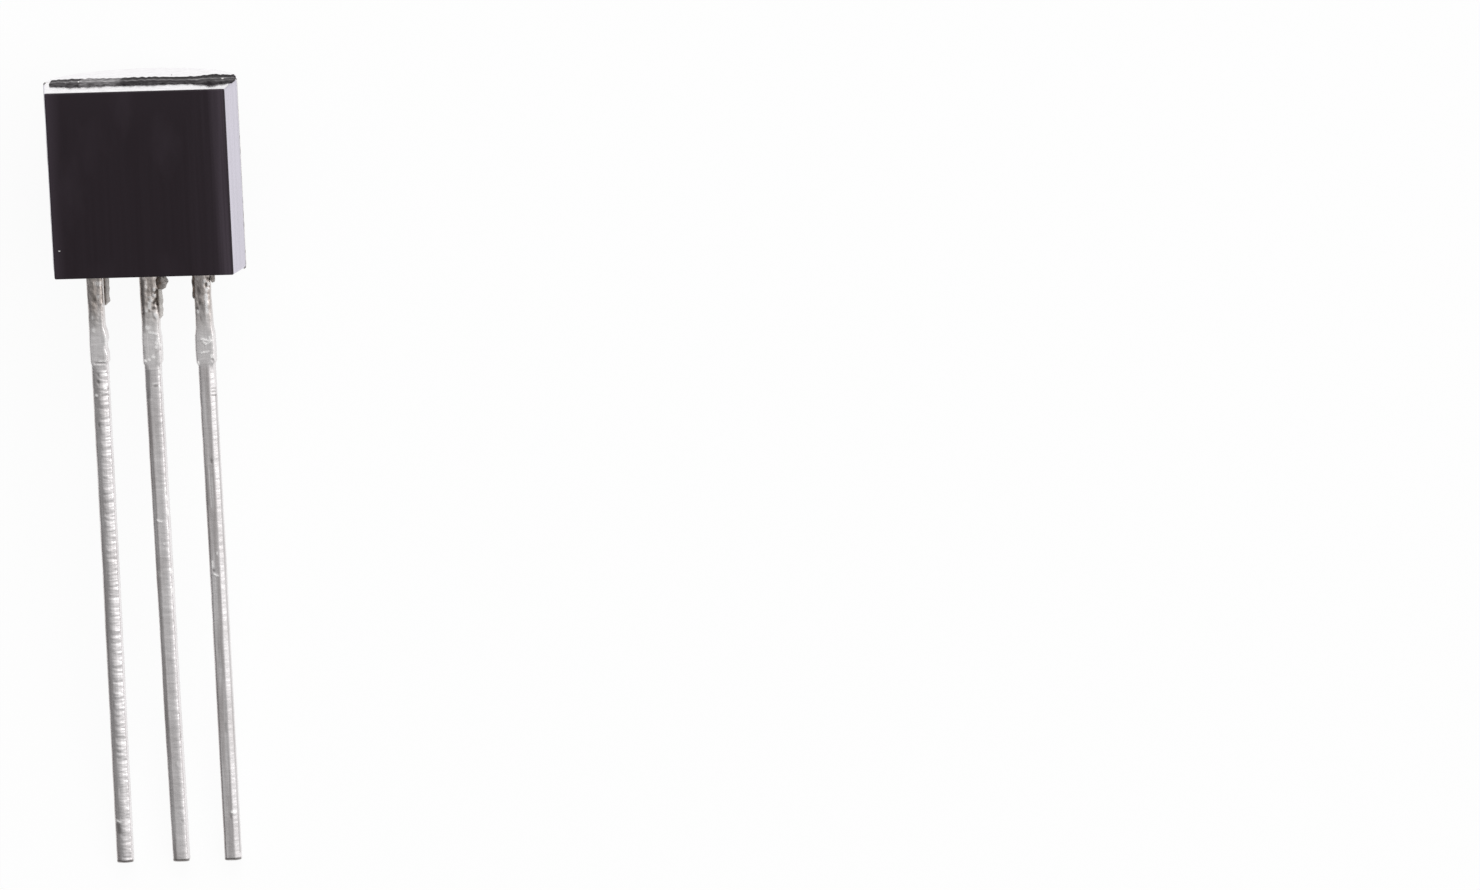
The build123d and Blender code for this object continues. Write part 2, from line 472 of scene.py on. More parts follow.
@dataclass(frozen=True)
class TinFinish(Finish):
    """Tin-dipped lead: bright, rippled across by the rolls, warmer and crumpled by the body."""

    dull_and_shade: Colour
    neck: Colour
    smudge_and_shade: Colour
    roughness: float
    # The colour of the painted glints and of the stub's painted shine.
    bright: Colour = (0.97, 0.95, 0.945)
    neck_span: Flat = (-1.6, -0.8)
    ripple_depth: float = 0.04
    crumple_depth: float = 0.045
    line_depth: float = 0.009
    fine_depth: float = 0.002

    def lay(self, weave: Weave) -> None:
        """Lays plating, ripples, the crumpled neck, smooth rolled strips greyed as painted shade, and the
        nicks, painted glints and painted shade carried as marks.

        Args:
            weave: the graph it goes into.
        """
        neck = weave.spread(weave.reach(Axis.ALONG), *self.neck_span)
        fine = weave.grain(26.0, 4.0, (0.45, 1.0, 0.45))
        drawn = weave.grain(11.0, 2.0, (1.0, 0.04, 1.0))
        rolled, tone = weave.mark("rolled"), weave.mark("tone")
        dulled = weave.spread(weave.grain(1.9, 5.0, (1.0, 0.5, 1.0)), 0.42, 0.68, 0.0, 0.42)
        necked = weave.times(neck, weave.spread(drawn, 0.25, 0.7, 0.45))
        plated = weave.blend(necked, weave.blend(dulled, self.colour, self.dull_and_shade), self.neck)
        # Painted shade: the smooth rolled strips are greyed along their draw lines.
        painted_streaks = weave.times(weave.spread(rolled, 0.40, 1.0, 0.0, 0.9), weave.spread(drawn, 0.42, 0.58))
        strip_shaded = weave.blend(painted_streaks, plated, self.dull_and_shade)
        # Negative tone darkens the tip and lays painted shade; positive tone lays painted glints and the
        # stub's painted shine in a bright colour with less metal.
        darkened = weave.blend(weave.spread(tone, 0.0, -1.0), strip_shaded, self.smudge_and_shade)
        low, high = self.roughness - 0.08, self.roughness + 0.1
        weave.fix(Base_Color=weave.blend(weave.spread(tone, 0.0, 0.8), darkened, self.bright),
                  Roughness=weave.spread(fine, *MOST_OF_NOISE, low, high),
                  Metallic=weave.spread(tone, 0.3, 0.9, 0.92, 0.1))
        ripples = weave.join(Join.SUM, weave.grain(7.5, 1.5, (0.3, 1.0, 0.3)), -0.5)
        waves = weave.bump(weave.times(ripples, weave.spread(rolled, 0.0, 0.5, 1.0, 0.15)), self.ripple_depth)
        crumple = weave.times(weave.grain(5.5, 3.0, (1.0, 0.6, 1.0)), weave.spread(neck, 0.3, 1.0))
        shards = weave.bump(crumple, self.crumple_depth, waves)
        lines = weave.times(weave.join(Join.SUM, drawn, -0.5), weave.spread(rolled, 0.42, 0.8, 0.3))
        weave.bump(fine, self.fine_depth, weave.bump(lines, self.line_depth, shards))


@dataclass(frozen=True)
class ShearedFinish(Finish):
    """The cropped end of a lead: torn copper-iron core, drawn over with a smear of tin."""

    smear: Colour
    drag_depth: float = 0.008

    def lay(self, weave: Weave) -> None:
        """Lays drag lines down the cut and patches of tin.

        Args:
            weave: the graph it goes into.
        """
        drag = weave.grain(24.0, 3.0, (1.0, 1.0, 0.12))
        patch = weave.spread(weave.grain(6.0, 3.0), 0.45, 0.6)
        weave.fix(Base_Color=weave.blend(patch, self.colour, self.smear),
                  Roughness=weave.spread(drag, *MOST_OF_NOISE, 0.35, 0.6), Metallic=0.85)
        weave.bump(drag, self.drag_depth)


@dataclass(frozen=True)
class ChipFinish(Finish):
    """Sawn and lapped silicon, with the chip's square pads on its face."""

    pad: Colour
    lap_depth: float = 0.0005

    def lay(self, weave: Weave) -> None:
        """Lays a blue-grey mirror with lap lines and bright metal pads.

        Args:
            weave: the graph it goes into.
        """
        lap = weave.grain(60.0, 2.0, (1.0, 0.05, 1.0))
        pads = weave.spread(weave.cells(4.0, CellMeasure.TO_EDGE), 0.12, 0.14)
        weave.fix(Base_Color=weave.blend(pads, self.colour, self.pad),
                  Roughness=weave.spread(lap, *MOST_OF_NOISE, 0.12, 0.3), Metallic=0.6)
        weave.bump(lap, self.lap_depth)


@dataclass(frozen=True)
class BondFinish(Finish):
    """Bright flaked or drawn stuff: silver adhesive, gold wire, or the chips that cling to the moulding."""

    shade: Colour
    roughness: float
    flake: float
    stretch: Triple = EVEN
    flake_depth: float = 0.003

    def lay(self, weave: Weave) -> None:
        """Lays flakes or draw lines in colour, gloss and relief.

        Args:
            weave: the graph it goes into.
        """
        flakes = weave.grain(self.flake, 4.0, self.stretch)
        weave.fix(Base_Color=weave.blend(weave.spread(flakes, 0.35, 0.65), self.shade, self.colour),
                  Roughness=weave.spread(flakes, *MOST_OF_NOISE, self.roughness, self.roughness + 0.2),
                  Metallic=0.95)
        weave.bump(flakes, self.flake_depth)


@dataclass(frozen=True)
class TableFinish(Finish):
    """A white table under even light: it looks white, and it keeps the soft shadow of what lies on it."""

    glow_share: float
    gloss_share: float
    fibre_shade: float = 0.985

    def lay(self, weave: Weave) -> None:
        """Lays a matt surface that looks lit from below to the camera, to gloss and through glass.

        Args:
            weave: the graph it goes into.
        """
        shade = tuple(part * self.fibre_shade for part in self.colour)
        weave.fix(Base_Color=weave.blend(weave.grain(0.8, 5.0), self.colour, shade),
                  Roughness=0.9, Specular_IOR_Level=0.0)
        glow = weave.node("ShaderNodeEmission", {"Color": WHITE, "Strength": 1.0}).outputs["Emission"]
        path = weave.node("ShaderNodeLightPath").outputs
        seen = weave.join(Join.LARGER, path["Is Camera Ray"], path["Is Transmission Ray"])
        shone = weave.times(path["Is Glossy Ray"], self.gloss_share)
        weave.veil(weave.join(Join.LARGER, weave.times(seen, self.glow_share), shone), glow)


FROSTED_RESIN = ResinFinish(
    "frosted_resin", (0.0082, 0.0026, 0.0062), flow_and_sheen_colour=(0.056, 0.042, 0.056), roughness=0.46,
    grain_size=0.03, grain_depth=0.0011, gloss=0.3, glaze=0.9, glaze_slants=(0.82, 0.98), glaze_tint=WHITE)
POLISHED_RESIN = ResinFinish(
    "polished_resin", (0.014, 0.011, 0.015), flow_and_sheen_colour=(0.02, 0.016, 0.022), roughness=0.2,
    grain_size=0.05, grain_depth=0.0003, gloss=0.5, glaze=0.64, glaze_slants=(0.35, 0.75),
    glaze_tint=(0.92, 0.88, 1.0))
# A copy of the polished resin with a full, whiter glaze: painted reflection that makes the end walls brighter
# than the flanks.
END_RESIN = replace(
    POLISHED_RESIN, name="end_wall_resin", colour=(0.014, 0.012, 0.015), flow_and_sheen_colour=(0.02, 0.017, 0.021),
    glaze=1.0, glaze_tint=(1.0, 0.985, 1.0))
TORN_RESIN = TornResinFinish("torn_resin", (0.024, 0.021, 0.023), pale=(0.46, 0.445, 0.455))
BLED_RESIN = BledResinFinish("bled_resin", (0.165, 0.098, 0.062), thin=(0.76, 0.73, 0.70))
CHIPPED_RESIN = BondFinish(
    "chipped_resin", (0.9, 0.89, 0.88), shade=(0.5, 0.48, 0.48), roughness=0.35, flake=30.0)
TIN_PLATE = TinFinish(
    "tin_plate", (0.90, 0.87, 0.875), dull_and_shade=(0.57, 0.53, 0.525), neck=(0.60, 0.53, 0.485),
    smudge_and_shade=(0.07, 0.058, 0.05), roughness=0.31)
SHEARED_END = ShearedFinish("sheared_end", (0.3, 0.26, 0.23), smear=(0.5, 0.49, 0.47))
SILICON = ChipFinish("silicon", (0.07, 0.075, 0.1), pad=(0.72, 0.72, 0.7))
SILVER_PASTE = BondFinish(
    "silver_paste", (0.78, 0.77, 0.74), shade=(0.45, 0.44, 0.42), roughness=0.35, flake=22.0)
GOLD_WIRE = BondFinish(
    "gold_wire", (0.98, 0.74, 0.34), shade=(0.85, 0.6, 0.25), roughness=0.15, flake=40.0,
    stretch=(1, 1, 0.2))
WHITE_TABLE = TableFinish("white_table", (0.95, 0.95, 0.95), glow_share=0.93, gloss_share=0.95)


class Skin:
    """Collects the points and faces of one piece in package millimetres, and makes the piece of them."""

    touching: float = 2e-8
    true_edge: float = math.radians(38)

    def __init__(self) -> None:
        """Starts with no points."""
        self.points: list[Vector] = []
        self.faces: list[tuple[int, ...]] = []
        self.skins: list[int] = []
        self.marks: dict[str, dict[int, float]] = {}

    def ring(self, points: list[Vector], **marks: list[float]) -> list[int]:
        """Adds a row of points.

        Args:
            points: where they are.
            marks: the numbers that they carry for a finish, by name.

        Returns:
            Their numbers.
        """
        first = len(self.points)
        self.points.extend(points)
        numbers = list(range(first, len(self.points)))
        for name, values in marks.items():
            self.marks.setdefault(name, {}).update(zip(numbers, values))
        return numbers

    def face(self, corners: list[int], skin: Pick) -> None:
        """Adds one face.

        Args:
            corners: the numbers of its points.
            skin: its finish, or what tells the finish from the face's middle.
        """
        if not isinstance(skin, Enum):
            skin = skin(sum((self.points[corner] for corner in corners), Vector()) / len(corners))
        self.faces.append(tuple(corners))
        self.skins.append(skin.value)

    def stack(self, rings: list[list[int]], skin: Pick, closed: bool = True) -> None:
        """Joins each row to the next by a band of quads.

        Args:
            rings: numbers of the rows, all of one length.
            skin: the finish of the bands, or what tells it from a face's middle.
            closed: whether the rows are loops.
        """
        for lower, upper in zip(rings, rings[1:]):
            count = len(lower)
            for i in range(count if closed else count - 1):
                j = (i + 1) % count
                self.face([lower[i], lower[j], upper[j], upper[i]], skin)

    def fan(self, loop: list[int], tip: Vector, skin: Enum) -> None:
        """Closes a loop with triangles to one point.

        Args:
            loop: numbers of its points.
            tip: the point.
            skin: the finish of the triangles.
        """
        middle = self.ring([tip])[0]
        for i, corner in enumerate(loop):
            self.face([corner, loop[(i + 1) % len(loop)], middle], skin)

    def graft(self, mesh: bpy.types.Mesh, skin: Enum) -> None:
        """Takes over the points and faces of a mesh made another way.

        Args:
            mesh: the mesh, in package millimetres.
            skin: the finish of all its faces.
        """
        numbers = self.ring([vertex.co.copy() for vertex in mesh.vertices])
        for polygon in mesh.polygons:
            self.face([numbers[i] for i in polygon.vertices], skin)

    def seal(self, mesh: bpy.types.Mesh) -> None:
        """Joins what touches, closes what is open inside the moulding, and turns every face outward.

        Args:
            mesh: the piece's mesh, in metres.
        """
        shape = bmesh.new()
        shape.from_mesh(mesh)
        loose = [point for point in shape.verts if not point.link_faces]
        bmesh.ops.delete(shape, geom=loose, context="VERTS")
        bmesh.ops.remove_doubles(shape, verts=shape.verts, dist=self.touching)
        bmesh.ops.dissolve_degenerate(shape, dist=self.touching, edges=shape.edges)
        bmesh.ops.holes_fill(shape, edges=[edge for edge in shape.edges if edge.is_boundary], sides=0)
        bmesh.ops.recalc_face_normals(shape, faces=shape.faces)
        shape.to_mesh(mesh)
        shape.free()

    def piece(self, name: str, finishes: list[Material]) -> Piece:
        """Makes the piece.

        Args:
            name: what it is called.
            finishes: its materials, in the order of its skins.

        Returns:
            The object, in place and smooth but for its true edges.
        """
        mesh = bpy.data.meshes.new(name)
        mesh.from_pydata([package @ (point * MM) for point in self.points], [], self.faces)
        for finish in finishes:
            mesh.materials.append(finish)
        mesh.polygons.foreach_set("material_index", self.skins)
        for key, carried in self.marks.items():
            values = [carried.get(i, 0.0) for i in range(len(self.points))]
            mesh.attributes.new(key, "FLOAT", "POINT").data.foreach_set("value", values)
        self.seal(mesh)
        mesh.validate()
        mesh.shade_smooth()
        mesh.set_sharp_from_angle(angle=self.true_edge)
        return set_down(name, mesh)


@dataclass
class MouldedBody:
    """The resin body: drafted front block, half-round back, parting flash, gate scar and bled resin."""

    face_half: float = 2.05
    face_height: float = 4.30
    front_depth: float = 1.15
    back_depth: float = 2.20
    side_slope: float = math.tan(math.radians(8.5))
    front_end_slope: float = math.tan(math.radians(4.0))
    back_end_slope: float = math.tan(math.radians(2.0))
    corner_radius: float = 0.10
    face_corner_radius: float = 0.035
    least_corner: float = 0.012
    corner_steps: int = 6
    edge_parts: int = 70
    wall_levels: Triple = (0.0, 0.4, 0.8)
    rim_radius: float = 0.03
    rim_step: float = 0.001
    rim_wear: float = 0.0035
    rim_land: float = 0.015
    end_radius: float = 0.0524
    end_land: float = 0.02
    rounding: int = 5
    back_steps: int = 64
    square_half: int = 8
    ejector_radius: float = 0.60
    ejector_depth: float = 0.12
    floor_crown: float = 0.01
    flash_reach: float = 0.012
    flash_root: float = 0.02
    flash_half: float = 0.016
    scar_ends: Flat = (-2.05, 2.20)
    scar_height: tuple[float, ...] = (0.04, 0.06, 0.06, 0.05, 0.06, 0.06, 0.045, 0.045, 0.085, 0.05)
    scar_depth: tuple[float, ...] = (0.36, 0.46, 0.47, 0.44, 0.42, 0.43, 0.46, 0.47, 0.62, 0.42)
    scar_stations: int = 260
    clot_rows: int = 8
    clot_steps: int = 14
    strip_stations: int = 24
    strip_steps: int = 16
    crumbs: tuple[tuple[float, float, float, float, ResinSkin], ...] = (
        (-1.906, 0.66, 1.144, 0.022, ResinSkin.CHIPPED),
        (1.944, 4.42, 0.42, 0.024, ResinSkin.CHIPPED),
        (-1.367, 4.42, 0.34, 0.018, ResinSkin.CHIPPED),
        (-1.670, 4.40, 0.32, 0.014, ResinSkin.CHIPPED),
        (0.682, 4.33, 0.55, 0.020, ResinSkin.TORN),
        (1.040, 4.33, 0.55, 0.010, ResinSkin.TORN),
        (0.246, 4.34, 0.50, 0.012, ResinSkin.TORN),
        (0.680, 4.40, -0.45, 0.010, ResinSkin.TORN),
    )
    nick_depth: float = 3
    edge_nicks: tuple[Flat, ...] = ((2.50, 0.05), (1.41, 0.04), (1.22, 0.05), (3.31, 0.03))
    skin: Skin = field(default_factory=Skin)

    @property
    def half_width(self) -> float:
        """Half the body's width on the parting plane."""
        return self.face_half + self.front_depth * self.side_slope

    @property
    def top(self) -> float:
        """The height of the closed end on the parting plane."""
        return self.face_height + self.front_depth * self.front_end_slope

    @property
    def bottom(self) -> float:
        """The height of the lead end on the parting plane."""
        return -self.front_depth * self.front_end_slope

    @property
    def middle(self) -> Vector:
        """The middle of the body's height on the parting plane."""
        return Vector((0, self.face_height / 2, 0))

    @property
    def mark_height(self) -> float:
        """The height of the round ejector mark's middle."""
        return self.face_height / 2

    @property
    def back_radius(self) -> float:
        """The radius of the half-round back."""
        return (self.half_width**2 + self.back_depth**2) / (2 * self.back_depth)

    @property
    def quarter(self) -> list[float]:
        """The angles of the steps round a rolled rim."""
        return [math.pi / 2 * step / self.rounding for step in range(self.rounding + 1)]

    def front_ring(self, height: float, inset: float, rough: float = 0.0) -> list[Vector]:
        """One level of the front block, as a rounded rectangle.

        Args:
            height: how far out of the lead plane it lies.
            inset: how far it is drawn in from the drafted walls.
            rough: how far its edge wanders.

        Returns:
            The points, anticlockwise seen from the front.
        """
        rise = self.front_depth - height
        half = self.face_half + rise * self.side_slope - inset
        low = -rise * self.front_end_slope + inset
        high = self.face_height + rise * self.front_end_slope - inset
        growth = (self.corner_radius - self.face_corner_radius) * rise / self.front_depth
        radius = max(self.face_corner_radius + growth - inset, self.least_corner)
        outline = []
        for x, y, start in ((half, low, -90), (half, high, 0), (-half, high, 90), (-half, low, 180)):
            centre = Vector((x - math.copysign(radius, x), y - math.copysign(radius, y - self.middle.y), 0))
            for step in range(self.corner_steps + 1):
                turn = math.radians(start + 90 * step / self.corner_steps)
                outline.append(centre + radius * Vector((math.cos(turn), math.sin(turn), 0)))
        points = []
        for i, (start, end) in enumerate(zip(outline, outline[1:] + outline[:1])):
            parts = self.edge_parts if i % (self.corner_steps + 1) == self.corner_steps else 1
            points += [start.lerp(end, part / parts) for part in range(parts)]
        for point in points:
            drawn = rough * wander(point.x, point.y, 3.0, 0.11)
            if point.x < 0:
                nicks = (math.exp(-((point.y - y) / size) ** 2) for y, size in self.edge_nicks)
                drawn += sum(rough * self.nick_depth * nick for nick in nicks)
            point += (self.middle - point).normalized() * drawn
            point.z = height
        return points

    def build_front(self) -> None:
        """The front block: polished drafted walls, a fine rolled rim and the frosted flat face."""
        rim_start = self.front_depth - self.rim_radius
        levels = (*self.wall_levels, rim_start, rim_start + self.rim_step)
        walls = [self.skin.ring(self.front_ring(height, 0.0)) for height in levels]
        self.skin.stack(walls, self.wall_skin)
        rim = [walls[-1]]
        for turn in self.quarter[1:]:
            inset = self.rim_radius * (1 - math.cos(turn))
            height = rim_start + self.rim_radius * math.sin(turn)
            rim.append(self.skin.ring(self.front_ring(height, inset, self.rim_wear * math.sin(turn))))
        rim.append(self.skin.ring(self.front_ring(self.front_depth, self.rim_radius + self.rim_land)))
        self.skin.stack(rim, ResinSkin.FROSTED)
        self.skin.face(rim[-1], ResinSkin.FROSTED)

    def wall_skin(self, place: Vector) -> ResinSkin:
        """Tells a flank from an end wall by which of them a place on the front block is nearer to.

        Args:
            place: the place.

        Returns:
            The skin that it shows.
        """
        rise = self.front_depth - place.z
        beside = self.face_half + rise * self.side_slope - abs(place.x)
        beyond = self.face_height / 2 + rise * self.front_end_slope - abs(place.y - self.face_height / 2)
        return ResinSkin.POLISHED if beside < beyond else ResinSkin.END_WALL

    def back_ring(self, end: float, inset: float, pull: float, turns: list[float]) -> list[Vector]:
        """One row across the half-round back.

        Args:
            end: 1 for the closed end, -1 for the lead end, or between them for a row on the way.
            inset: how far it is drawn in from the round surface.
            pull: how far it stops short of the end wall.
            turns: the angles round the back, from the left edge to the right one.

        Returns:
            The points from left to right.
        """
        lift = self.back_radius - self.back_depth
        radius = self.back_radius - inset
        row = []
        for turn in turns:
            z = min(lift - radius * math.cos(turn), 0.0)
            high = self.top + z * self.back_end_slope - pull
            low = self.bottom - z * self.back_end_slope + pull
            row.append(Vector((radius * math.sin(turn), (high + low) / 2 + end * (high - low) / 2, z)))
        return row

    def build_back(self) -> None:
        """The half-round back with its rolled end rims, its flat ends and the round mark in its crown."""
        limit = math.asin(min(self.half_width / self.back_radius, 1.0))
        turns = [limit * (2 * step / self.back_steps - 1) for step in range(self.back_steps + 1)]
        ends = []
        for end in (1, -1):
            rings = []
            for turn in self.quarter:
                inset = self.end_radius * (1 - math.cos(turn))
                pull = self.end_radius * (1 - math.sin(turn))
                rings.append(self.skin.ring(self.back_ring(end, inset, pull, turns)))
            rings.append(self.skin.ring(self.back_ring(end, self.end_radius + self.end_land, 0.0, turns)))
            order = rings if end < 0 else [ring[::-1] for ring in rings]
            self.skin.stack(order, ResinSkin.END_WALL, closed=False)
            self.skin.face(order[-1][::-1], ResinSkin.END_WALL)
            ends.append(rings[0])
        self.build_crown(turns, ends)

    def build_crown(self, turns: list[float], ends: list[list[int]]) -> None:
        """The round surface between the end rims, with a square of finer mesh that runs into the round mark.

        Args:
            turns: the angles round the back.
            ends: the rows of the closed end and of the lead end.
        """
        wide, centre = self.square_half, len(turns) // 2
        low, high = centre - wide, centre + wide
        reach = self.back_radius * math.sin(turns[high])
        square = []
        for step in range(2 * wide + 1):
            y = self.mark_height + reach * (1 - step / wide)
            row = self.back_ring(0, 0.0, 0.0, turns)
            square.append(self.skin.ring([Vector((point.x, y, point.z)) for point in row]))
        grid = [ends[0], *square, ends[1]]
        for upper, lower in zip(grid, grid[1:]):
            inner = upper is not grid[0] and lower is not grid[-1]
            for i in range(len(turns) - 1):
                if not (inner and low <= i < high):
                    self.skin.face([upper[i], upper[i + 1], lower[i + 1], lower[i]], ResinSkin.FROSTED)
        border = [square[0][i] for i in range(low, high)]
        border += [square[row][high] for row in range(2 * wide)]
        border += [square[-1][i] for i in range(high, low, -1)]
        border += [square[row][low] for row in range(2 * wide, 0, -1)]
        loops = [border]
        for share in (0.5, 1.0):
            loops.append(self.skin.ring([self.towards_mark(self.skin.points[i], share) for i in border]))
        floor = self.ejector_depth - self.back_depth
        for inset, height in ((0.0, floor - 0.006), (0.003, floor), (0.05, floor)):
            loops.append(self.skin.ring([self.mark_wall(self.skin.points[i], inset, height) for i in border]))
        self.skin.stack(loops, ResinSkin.FROSTED)
        self.skin.fan(loops[-1], Vector((0, self.mark_height, floor + self.floor_crown)), ResinSkin.FROSTED)

    def towards_mark(self, point: Vector, share: float) -> Vector:
        """Moves a point of the square's border towards the rim of the mark, along the round surface.

        Args:
            point: where it is.
            share: how far it goes, with 1 on the rim.

        Returns:
            Where it comes to lie.
        """
        arm = Vector((point.x, point.y - self.mark_height))
        moved = arm.lerp(arm.normalized() * self.ejector_radius, share)
        fall = math.sqrt(max(self.back_radius**2 - moved.x**2, 0.0))
        return Vector((moved.x, self.mark_height + moved.y, self.back_radius - self.back_depth - fall))

    def mark_wall(self, point: Vector, inset: float, height: float) -> Vector:
        """A point of the mark's wall or floor, so far inside its rim and at that height."""
        arm = Vector((point.x, point.y - self.mark_height)).normalized() * (self.ejector_radius - inset)
        return Vector((arm.x, self.mark_height + arm.y, height))

    def build_flash(self) -> None:
        """The thin fin where the halves of the mould met, now high, now rubbed away, pale grey all round as a
        painted light outline, darker in patches on the right.
        """
        inner, outer, under = [], [], []
        lift = Vector((0, 0, self.flash_half))
        for point in self.front_ring(0.0, 0.0):
            away = (point - self.middle).normalized()
            reach = self.flash_reach * (0.45 + 0.5 * wander(point.x, point.y, 7.0, 0.35))
            inner.append(point - away * self.flash_root + lift)
            outer.append(point + away * max(reach, 0.0))
            under.append(point - away * self.flash_root - lift)
        rings = []
        for row in (under, outer, inner):
            # Painted light: the fin is pale grey so that the body's edges show a light outline; on the right
            # it is darker in patches.
            right_patches = [1.4 * wander(point.x, point.y, 9.0, 0.12) if point.x > 0 else 0.0 for point in row]
            rings.append(self.skin.ring(row, pale=[clamp(1.15 + change) for change in right_patches]))
        self.skin.stack(rings, ResinSkin.BLED)

    def scar_row(self, share: float) -> list[int]:
        """One cut through the torn band.

        Args:
            share: how far along the band it lies, from 0 at the left to 1 at the right.

        Returns:
            The numbers of its points, from behind the parting line round the front.
        """
        x = self.scar_ends[0] + (self.scar_ends[1] - self.scar_ends[0]) * share
        step = share * (len(self.scar_height) - 1)
        taper = ease(share, -0.004, 0.006) * (1 - ease(share, 0.99, 1.0))
        rise = along(step, list(enumerate(self.scar_height))) + 0.016 * wander(x, 0, 0, 0.10)
        deep = along(step, list(enumerate(self.scar_depth))) + 0.05 * wander(x, 5, 0, 0.16)
        rise, deep = max(rise, 0.01) * (0.4 + 0.6 * taper), deep * (0.6 + 0.4 * taper)
        profile = [
            (-0.03, -0.04, 0.0), (rise * 0.7, -0.035, 0.0), (rise, -0.01, 0.0), (rise, deep * 0.3, 0.05),
            (rise * 0.95, deep * 0.45, 0.12), (rise * 0.9, deep * 0.55, 0.55), (rise * 0.9, deep * 0.66, 0.5),
            (rise * 0.95, deep * 0.78, 0.08), (rise * 0.9, deep, 0.05 + 0.4 * ease(x, 1.3, 1.6)),
            (rise * 0.45, deep + 0.02, 0.2), (-0.01, deep + 0.02, 0.05), (-0.04, deep, 0.0),
        ]
        ring, pales = [], []
        for i, (above, out, pale) in enumerate(profile):
            torn = x + 0.12 * wander(x, i * 0.25, 5.0, 0.12)
            shell = ease(torn, -1.40, -1.32) * (1 - ease(torn, -0.62, -0.32))
            y = self.top - out * self.front_end_slope + above + 0.006 * wander(x, i * 0.5, 2.0, 0.07)
            ring.append(Vector((x, y, out + 0.015 * wander(x, i * 0.5, 7.0, 0.09))))
            streak = pale * (0.75 + 0.9 * wander(x, i * 0.3, 4.0, 0.3)) + 0.08 * (1 - ease(x, -1.45, -1.36))
            patch = 0.62 - 0.04 * i + 0.35 * wander(x, i * 0.4, 12.0, 0.09) if above > 0 else 0.1
            pales.append(clamp(streak + shell * patch))
        return self.skin.ring(ring, pale=pales)

    def build_scar(self) -> None:
        """The torn band along the closed end, where the film from the gate broke off, thicker at its stub."""
        rings = [self.scar_row(station / self.scar_stations) for station in range(self.scar_stations + 1)]
        self.skin.stack(rings[::-1], ResinSkin.TORN)
        self.skin.face(rings[0], ResinSkin.TORN)
        self.skin.face(rings[-1][::-1], ResinSkin.TORN)

    def build_clot(self, centre: Triple, size: Triple, resin: ResinSkin, pale: Flat) -> None:
        """An uneven drop of set resin, or a chip.

        Args:
            centre: its middle.
            size: its half sizes along the package axes.
            resin: the skin that it shows.
            pale: how thin and pale its left and right sides are, from 0 to 1.
        """
        centre, size = Vector(centre), Vector(size)
        left, right = pale
        rings = []
        for row in range(1, self.clot_rows):
            lean = math.pi * row / self.clot_rows
            wide = math.sin(lean)
            ring = []
            for step in range(self.clot_steps):
                turn = 2 * math.pi * step / self.clot_steps
                way = Vector((wide * math.cos(turn), wide * math.sin(turn), math.cos(lean)))
                lump = 1 + 0.35 * noise.noise(way * 1.7 + centre * 3)
                ring.append(centre + way * size * lump)
            shares = [ease(point.x, centre.x - size.x, centre.x + size.x) for point in ring]
            rings.append(self.skin.ring(ring, pale=[left + (right - left) * share for share in shares]))
        self.skin.stack(rings[::-1], resin)
        tall = Vector((0, 0, size.z))
        self.skin.fan(rings[0], centre + tall, resin)
        self.skin.fan(rings[-1][::-1], centre - tall, resin)

    def build_strip(self, left: float, right: float, length: float, thickness: float, pale: float) -> None:
        """A thin skin of resin beside a lead, from the body's end wall to a rounded tail.

        Args:
            left: the edge that touches the lead, which is dark.
            right: the free edge.
            length: how far it runs below the body.
            thickness: how thick it is.
            pale: how pale its free half is, from 0 to 1.
        """
        rings = []
        for station in range(self.strip_stations + 1):
            share = station / self.strip_stations
            y = self.bottom + 0.05 - share * (length + 0.05)
            free = right + (right - left) * (0.3 * wander(right, y, 0, 0.14) - 0.75 * ease(share, 0.85, 1.0))
            half = thickness / 2 * (1 - 0.6 * ease(share, 0.8, 1.0))
            ring = []
            for step in range(self.strip_steps):
                angle = 2 * math.pi * step / self.strip_steps
                x = (left + free) / 2 + (free - left) / 2 * math.cos(angle)
                ring.append(Vector((x, y, half * math.sin(angle) * (1 + 0.2 * wander(x, y, step, 0.1)))))
            shares = [0.2 + 0.8 * ease((point.x - left) / (free - left), 0.2, 0.5) for point in ring]
            rings.append(self.skin.ring(ring, pale=[pale * share for share in shares]))
        self.skin.stack(rings[::-1], ResinSkin.BLED)
        self.skin.face(rings[-1][::-1], ResinSkin.BLED)

    def build_bleed(self) -> None:
        """The resin that bled along the leads: a grey tail, an amber drop with its tail, and a dark edge."""
        self.build_strip(-1.09, -0.955, 0.77, 0.12, 0.78)
        self.build_strip(0.12, 0.262, 1.20, 0.12, 1.0)
        self.build_clot((0.255, -0.32, 0.08), (0.155, 0.17, 0.15), ResinSkin.BLED, (0.0, 0.6))
        self.build_strip(1.04, 0.95, 0.72, 0.30, 0.05)
        self.build_clot((1.44, -0.27, 0.05), (0.055, 0.12, 0.09), ResinSkin.BLED, (0.8, 0.2))

    def build_crumbs(self) -> None:
        """Loose crumbs of torn resin and bright chips that cling to the moulding."""
        for x, y, z, size, resin in self.crumbs:
            self.build_clot((x, y, z), (1.4 * size, 0.8 * size, size), resin, (0.2, 0.2))

    def build(self) -> Piece:
        """Makes the whole moulding as one dressed piece.

        Returns:
            The moulding.
        """
        for form in (self.build_front, self.build_back, self.build_flash, self.build_scar,
                     self.build_bleed, self.build_crumbs):
            form()
        finishes = [FROSTED_RESIN, POLISHED_RESIN, TORN_RESIN, BLED_RESIN, CHIPPED_RESIN, END_RESIN]
        body = self.skin.piece("moulded_resin_body", [finish.material() for finish in finishes])
        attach(body, "root")
        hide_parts("moulded_body")
        return body


